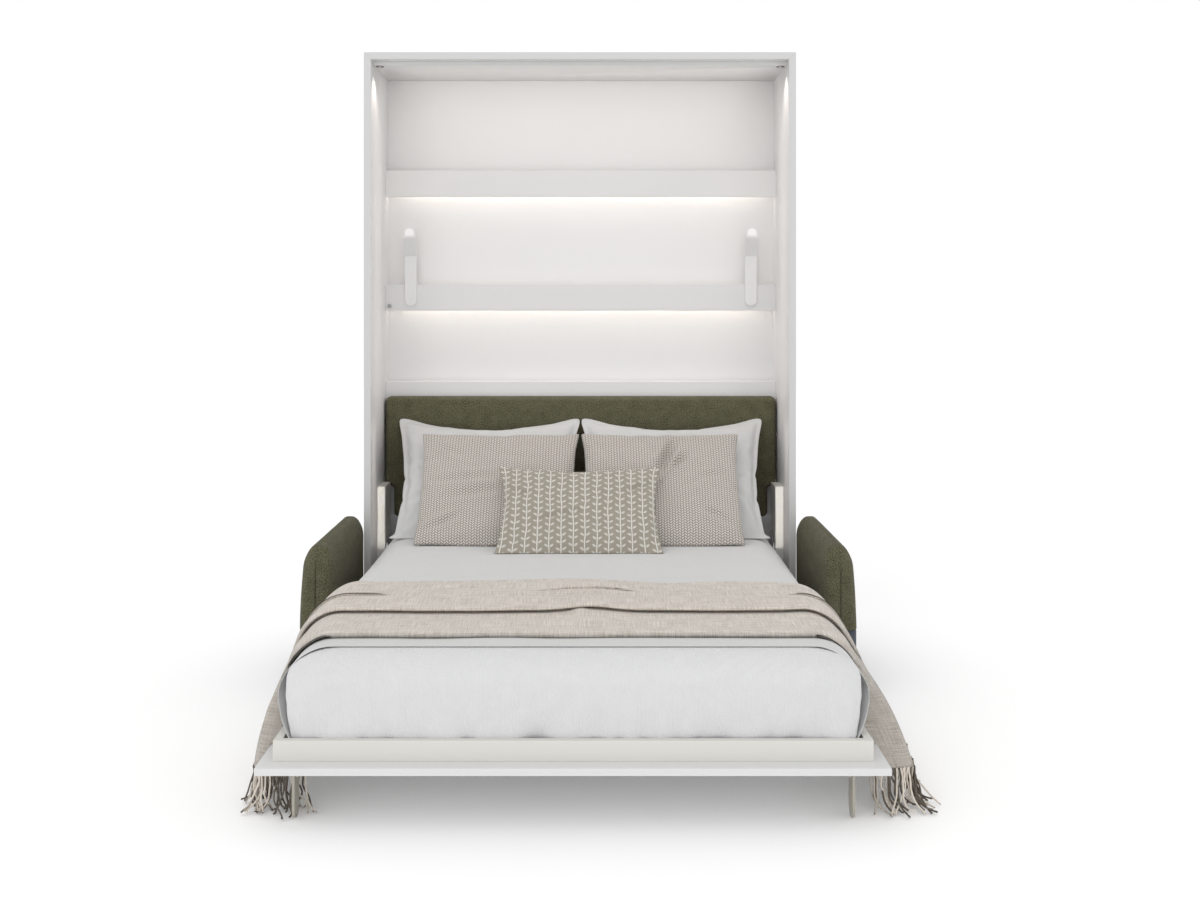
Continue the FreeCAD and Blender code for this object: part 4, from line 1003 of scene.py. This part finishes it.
def add_flange(obj, cells, wide, thick):
    """Give a pouch a flat sewn border: the rim splits and a thin strip runs round it."""
    nx, ny = cells
    mesh = obj.data
    co = coordinates(obj)
    uv = np.zeros((len(co), 2))
    for face in mesh.polygons:
        for loop in face.loop_indices:
            uv[mesh.loops[loop].vertex_index] = mesh.uv_layers[0].data[loop].uv
    ring = grid_ring(ny + 1, nx + 1)
    on_rim = set(ring)
    back_copy = {}
    points = [tuple(p) for p in co]
    uvs = [tuple(p) for p in uv]
    for n in ring:
        back_copy[n] = len(points)
        points.append((co[n][0], co[n][1], co[n][2] - thick))
        uvs.append(tuple(uv[n]))
    faces = []
    front_total = (nx + 1) * (ny + 1)
    for face in mesh.polygons:
        ids = list(face.vertices)
        if any(n >= front_total for n in ids) or sum(n in on_rim for n in ids) == 4 and face.normal.z < 0:
            ids = [back_copy.get(n, n) for n in ids]
        faces.append(tuple(ids))
    total = len(ring)
    outer_front = []
    outer_back = []
    for k, n in enumerate(ring):
        run = co[ring[(k + 1) % total]][:2] - co[ring[k - 1]][:2]
        out = np.array((run[1], -run[0])) / max(np.linalg.norm(run), 1e-9)
        if k in (0, nx, nx + ny, 2 * nx + ny):
            out = out * 1.3
        ripple = 0.0016 * noise_at(co[n][0] * 30, co[n][1] * 30, 5.0)
        spot = co[n][:2] + out * wide
        for store, drop in ((outer_front, 0.0), (outer_back, thick)):
            store.append(len(points))
            points.append((spot[0], spot[1], co[n][2] + ripple - drop))
            uvs.append((uv[n][0] + out[0] * wide, uv[n][1] + out[1] * wide))
    for k in range(total):
        m = (k + 1) % total
        faces.append((ring[m], ring[k], outer_front[k], outer_front[m]))
        faces.append((outer_front[m], outer_front[k], outer_back[k], outer_back[m]))
        faces.append((outer_back[m], outer_back[k], back_copy[ring[k]], back_copy[ring[m]]))
    made = mesh_piece(obj.name + "_new", points, faces, "pillow_cloth", uvs)
    obj.data = made.data
    bpy.data.objects.remove(made)
    bpy.data.meshes.remove(mesh)


def refine(obj):
    """One step of subdivision, kept in the mesh."""
    add_subdivision(obj)
    mesh = evaluated_mesh(obj)
    obj.modifiers.clear()
    obj.data = mesh


def fit_size(obj, reach, half_thick):
    """Centre a stuffed piece and scale it to its half width, half height and half thickness."""
    co = coordinates(obj)
    co[:, :2] -= (co[:, :2].max(axis=0) + co[:, :2].min(axis=0)) / 2
    co *= np.array((*reach, half_thick)) / np.abs(co).max(axis=0)
    set_coordinates(obj, co)


def crumple(obj, reach, depth, creases, seed):
    """Soft dents all over a stuffed piece and some sharper creases on its front, none at the seams."""
    co = coordinates(obj)
    across = np.clip(np.abs(co[:, 0]) / reach[0], 0, 1)
    upward = np.clip(np.abs(co[:, 1]) / reach[1], 0, 1)
    inside = (1 - across**6) * (1 - upward**6)
    side = np.sign(co[:, 2])
    spots = np.column_stack((co[:, :2], side * 3.0))
    dents = wave_noise(spots, 7.0, seed)
    dents += 0.5 * np.abs(wave_noise(spots * np.array((1.0, 1.6, 1.0)), 13.0, seed + 4.0))
    co[:, 2] += side * inside * depth * dents
    for x0, y0, x1, y1, width, groove in creases:
        start = np.array((x0, y0)) * reach
        run = np.array((x1, y1)) * reach - start
        t = np.clip(((co[:, :2] - start) @ run) / (run @ run), 0, 1)
        gap = np.linalg.norm(co[:, :2] - start - t[:, None] * run, axis=1)
        fade = np.sin(np.pi * np.clip(t, 0.02, 0.98)) ** 0.5
        hollow = np.exp(-((gap / width) ** 2)) - 0.45 * np.exp(-(((gap - 1.9 * width) / width) ** 2))
        co[:, 2] -= np.where(side > 0, groove * hollow * fade * inside, 0.0)
    set_coordinates(obj, co)


def pull_corners(co, reach, outward, ears):
    """Stand the corners out as ears; a pillow's lower outer corner is drawn out as a flap on the bed."""
    a = co[:, 0] / reach[0]
    b = co[:, 1] / reach[1]
    wide, tall, flat_flap = ears
    corner = smooth(0.70, 1.0, np.abs(a)) * smooth(0.68, 1.0, np.abs(b))
    top = corner * (b > 0)
    low = corner * (b < 0) * (flat_flap == 0)
    flap = smooth(0.72, 1.0, a * outward) * smooth(-0.88, -1.0, b)
    co[:, 0] += np.sign(a) * wide * (top + 0.6 * low) + outward * flat_flap * flap
    co[:, 1] += tall * (top - 0.5 * low)


def lean_on_bed(obj, node, lean, reach, taper):
    """Lean a stuffed piece back where its solid is and flatten it where it stands on the cover."""
    co = coordinates(obj)
    co[:, 0] *= 1 + taper * co[:, 1] / reach[1]
    low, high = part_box(node)
    middle = (low + high) / 2
    ears = (0.007, 0.013, 0.054) if node.startswith("pillow") else (0.007, 0.008, 0.0)
    pull_corners(co, reach, math.copysign(1.0, middle.x), ears)
    a = math.radians(lean)
    # Upright, front to -Y, then turned back about X.
    x = co[:, 0] + middle.x
    y = -co[:, 2] * math.cos(a) + co[:, 1] * math.sin(a) + middle.y
    z = co[:, 2] * math.sin(a) + co[:, 1] * math.cos(a) + middle.z
    rest = COVER_TOP + 0.0012
    low_part = smooth(rest + 0.03, rest - 0.02, z)
    y = np.minimum(y - 0.004 * low_part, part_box("headboard_pad")[0].y - 0.002)
    set_coordinates(obj, np.column_stack((x, y, np.maximum(z, rest))))


def make_cushions():
    made = [pouch(name, form, 3.7 * k) for k, (name, node, form, creases) in enumerate(STUFFED)]
    inflate(made, pressure=0.85, frames=17)
    for k, (name, node, form, creases) in enumerate(STUFFED):
        obj = made[k]
        reach = np.array((form.wide / 2, form.tall / 2))
        if not form.border:
            refine(obj)
        fit_size(obj, reach - form.border, form.half)
        crumple(obj, reach - form.border, form.dents, creases, 2.3 * k)
        if form.border:
            add_flange(obj, form.cells, form.border, 0.003)
        lean_on_bed(obj, node, form.lean, reach, form.taper)
        if form.border:
            refine(obj)
        slot = "white_cloth" if form is PILLOW else form.look
        settle(obj, "bed", slot, node)
        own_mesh(obj)


# ---- upholstery


def make_headboard():
    """Upholstered board with rounded corners, stepped in beside the lift housings."""
    low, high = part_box("headboard_pad")
    wide = high.x
    notch = high.x - 0.033
    step_top = low.z + 0.138
    step_low = low.z + 0.113
    corner = 0.020
    bend = 0.017

    def half_width(z):
        w = np.interp(z, (low.z, step_low, step_top, high.z), (notch, notch, wide, wide))
        cut = max(z - (high.z - corner), low.z + corner - z, 0.0)
        return w - (corner - math.sqrt(max(corner**2 - cut**2, 0.0)))

    turned = [1 - math.cos(math.radians(90 * i / 8)) for i in range(9)]
    rise = [low.z + corner * t for t in turned]
    rise += list(np.linspace(low.z + corner, step_low - 0.012, 8)[1:])
    rise += list(np.linspace(step_low - 0.012, step_top + 0.012, 10)[1:])
    rise += list(np.linspace(step_top + 0.012, high.z - corner, 26)[1:])
    rise += [high.z - corner * t for t in turned[::-1]][1:]
    inner = 1 - corner / wide
    across = [-1 + (1 - inner) * t for t in turned]
    across += list(np.linspace(-inner, inner, 90)[1:-1])
    across += [-a for a in across[8::-1]]
    points = []
    uv = []
    for layer in range(2):
        for z in rise:
            w = half_width(z)
            for a in across:
                x = a * w
                sx = max(0.0, 1 - wide * (1 - abs(a)) / bend)
                sz = max(0.0, 1 - min(z - low.z, high.z - z) / bend)
                round_off = bend * (1 - math.sqrt(max(0.0, 1 - min(1.0, sx * sx + sz * sz))))
                puff = 0.0035 * (1 - a**6) * (1 - ((z - (low.z + high.z) / 2) / 0.233) ** 6)
                dent = 0.0012 * noise_at(x * 4.0, z * 6.0, 9.0)
                y = high.y - 0.0005 if layer else low.y + 0.0035 + round_off - puff + dent
                points.append((x, y, z))
                uv.append((x, z + 0.9 * (y - low.y)))
    faces = shell_faces(len(rise), len(across))
    obj = mesh_piece("headboard_cover", points, faces, "olive_cloth", uv)
    settle(obj, "cabinet", "olive_cloth", "headboard_pad")


def make_arms():
    for hand, sign in HANDS:
        low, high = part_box(f"arm_pad_{hand}")

        def shape(p, lo, hi, mid):
            up = (p[:, 2] - lo[2]) / (hi[2] - lo[2])
            depth = (p[:, 1] - lo[1]) / (hi[1] - lo[1])
            swell = np.sin(np.pi * np.clip(up, 0, 1)) * np.sin(np.pi * np.clip(depth, 0, 1)) ** 0.5
            outer_side = np.sign(p[:, 0] - mid[0]) == sign
            puff = sign * 0.0025 * (swell - 1) + 0.0009 * wave_noise(p, 8.0, 4.0)
            p[:, 0] += np.where(outer_side, puff, 0.0)
            rise = np.clip((p[:, 2] - hi[2] + 0.27) / 0.27, 0, 1)
            outward = np.clip(sign * (p[:, 0] - mid[0]) / (hi[0] - mid[0]), 0, 1)
            p[:, 0] += sign * (0.008 - 0.016 * rise**1.5) * outward
            # Sewn line down the middle of the front.
            front = smooth(lo[1] + 0.02, lo[1] + 0.004, p[:, 1])
            line = np.exp(-((p[:, 0] - mid[0]) / 0.0024) ** 2)
            span = smooth(lo[2] + 0.018, lo[2] + 0.03, p[:, 2]) * smooth(hi[2] - 0.05, hi[2] - 0.09, p[:, 2])
            p[:, 1] += 0.0052 * front * line * span
            knot = np.exp(-((p[:, 0] - mid[0]) ** 2 + (p[:, 2] - lo[2] - 0.024) ** 2) / 0.0045**2)
            p[:, 1] += 0.005 * front * knot
            return p

        obj = rounded_box(
            f"arm_cover_{hand}", low, high, (0.043, 0.044, 0.080), (0.014, 0.040, 0.008), (12, 46, 26),
            "olive_cloth", shape, 0.006,
        )
        settle(obj, "cabinet", "olive_cloth", f"arm_pad_{hand}")
    low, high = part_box("arm_frames")
    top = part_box("arm_pad_right")[0].z + 0.002
    for hand, sign in HANDS:
        x0, x1 = sorted((0.7905 * sign, (high.x + 0.013) * sign))
        obj = rounded_box(
            f"arm_base_{hand}", (x0, low.y, low.z), (x1, high.y, top), (0.010, 0.012, 0.004),
            (0.010, 0.012, 0.006), (8, 30, 14), "slate_cloth",
        )
        settle(obj, "cabinet", "slate_cloth")
        if hand == "left":
            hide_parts("arm_frames")


def make_seat():
    low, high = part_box("seat_cushion")

    def shape(p, lo, hi, mid):
        up = (p[:, 2] - lo[2]) / (hi[2] - lo[2])
        across = np.clip((p[:, 0] - mid[0]) / (hi[0] - lo[0]) * 2, -1, 1)
        depth = np.clip((p[:, 1] - mid[1]) / (hi[1] - lo[1]) * 2, -1, 1)
        crown = (1 - np.abs(across) ** 5) * (1 - np.abs(depth) ** 4)
        p[:, 2] -= smooth(0.4, 1.0, up) * 0.011 * (1 - crown)
        p[:, 2] -= smooth(0.6, 1.0, up) * 0.0014 * (1 + wave_noise(p, 9.0, 6.0))
        return p

    radius = (0.022, 0.022, 0.024)
    base_radius = (0.014, 0.014, 0.014)
    obj = rounded_box("seat_cover", low, high, radius, base_radius, (90, 34, 6), "olive_cloth", shape)
    settle(obj, "seat", "olive_cloth", "seat_cushion")


# ---- light, floor and camera

WARM = (1.0, 0.90, 0.83)


def link_light(name, kind, power, color, place, turn=(0, 0, 0)):
    lamp = bpy.data.lights.new(name, kind)
    lamp.energy = power
    lamp.color = color
    obj = bpy.data.objects.new(name, lamp)
    obj.location = place
    obj.rotation_euler = [math.radians(t) for t in turn]
    scene.collection.objects.link(obj)
    return obj


def area_light(name, place, turn, extent, power, color=WARM, spread=180):
    obj = link_light(name, "AREA", power, color, place, turn)
    obj.data.shape = "RECTANGLE"
    obj.data.size, obj.data.size_y = extent
    obj.data.spread = math.radians(spread)
    obj.visible_camera = False


def light_up():
    world = bpy.data.worlds.new("studio")
    world.use_nodes = True
    tree = world.node_tree
    background = tree.nodes["Background"]
    background.inputs["Strength"].default_value = 1.0
    # White round the horizon and dimmer overhead, as with tall soft boxes round the set.
    place = tree.nodes.new("ShaderNodeTexCoord")
    split = tree.nodes.new("ShaderNodeSeparateXYZ")
    fade = tree.nodes.new("ShaderNodeMapRange")
    for socket, value in (("From Min", 0.3), ("From Max", 0.9), ("To Min", 1.0), ("To Max", 0.80)):
        fade.inputs[socket].default_value = value
    tree.links.new(place.outputs["Generated"], split.inputs[0])
    tree.links.new(split.outputs[2], fade.inputs["Value"])
    tree.links.new(fade.outputs[0], background.inputs["Color"])
    scene.world = world
    sun = link_light("sky_front", "SUN", 0.62, (1.0, 1.0, 1.0), (0, 0, 0), (42, 0, -18))
    sun.data.angle = math.radians(70)
    area_light("front", (0, -7.0, 1.7), (90, 0, 0), (5.0, 3.4), 22, (1.0, 1.0, 1.0))
    for z in (1.7535, 1.3065):
        area_light(f"ledge_{z:.3f}", (0, 0.955, z), (5, 0, 0), (1.46, 0.010), 1.35)
    # These stand inside the cabinet, where the closed bed hides them.
    area_light("back_fill", (0, 0.612, 1.44), (90, 0, 0), (1.40, 1.32), 0.52, spread=60)
    area_light("ceiling", (0, 0.80, 2.08), (180, 0, 0), (1.40, 0.28), 0.3)
    area_light("top", (0, 0.80, 2.13), (25, 0, 0), (1.40, 0.16), 1.05)
    pale = (1.0, 0.97, 0.93)
    for _, sign in HANDS:
        sideways = (0, -90 * sign, 0)
        area_light(f"inside_{sign}", (sign * 0.66, 0.74, 1.40), sideways, (1.2, 0.16), 0.27)
        area_light(f"inside_low_{sign}", (sign * 0.728, 0.655, 0.60), sideways, (0.44, 0.08), 0.045)
        housing = (sign * 0.750, 0.614, 0.46)
        area_light(f"housing_{sign}", housing, (90, 0, 0), (0.028, 0.24), 0.0108, pale, 8)
        spot = link_light(f"corner_{sign}", "SPOT", 2.2, WARM, (sign * 0.728, 0.657, 2.134))
        spot.data.spot_size = math.radians(100)
        spot.data.spot_blend = 0.9
        spot.data.shadow_soft_size = 0.02


def lay_floor():
    look = Look("floor", 0.9)
    look.set("Specular IOR Level", 0.1)
    look.set("Base Color", look.mix(look.noise(look.place(), 0.6), grey(0.945), grey(0.955)))
    look.set("Emission Color", (1.0, 1.0, 1.0, 1.0))
    look.set("Emission Strength", 0.085)
    LOOKS["floor"] = look.mat
    corners = [(-14, -14, 0), (14, -14, 0), (14, 14, 0), (-14, 14, 0)]
    floor = mesh_piece("floor", corners, [(0, 1, 2, 3)], "floor")
    floor.location.z = -0.0005


def set_camera():
    data = bpy.data.cameras.new("camera")
    data.sensor_width = 36.0
    data.lens = 38.49
    data.shift_x = 0.0058
    data.shift_y = -0.13
    data.clip_end = 100.0
    camera = bpy.data.objects.new("camera", data)
    camera.location = (0.048, -4.105, 1.296)
    camera.rotation_euler = (math.pi / 2, 0, 0)
    scene.collection.objects.link(camera)
    scene.camera = camera


scene.view_settings.view_transform = "Standard"
set_camera()
dress_cad()
make_mattress()
make_cover()
make_throw()
make_cushions()
make_headboard()
make_arms()
make_seat()
light_up()
lay_floor()
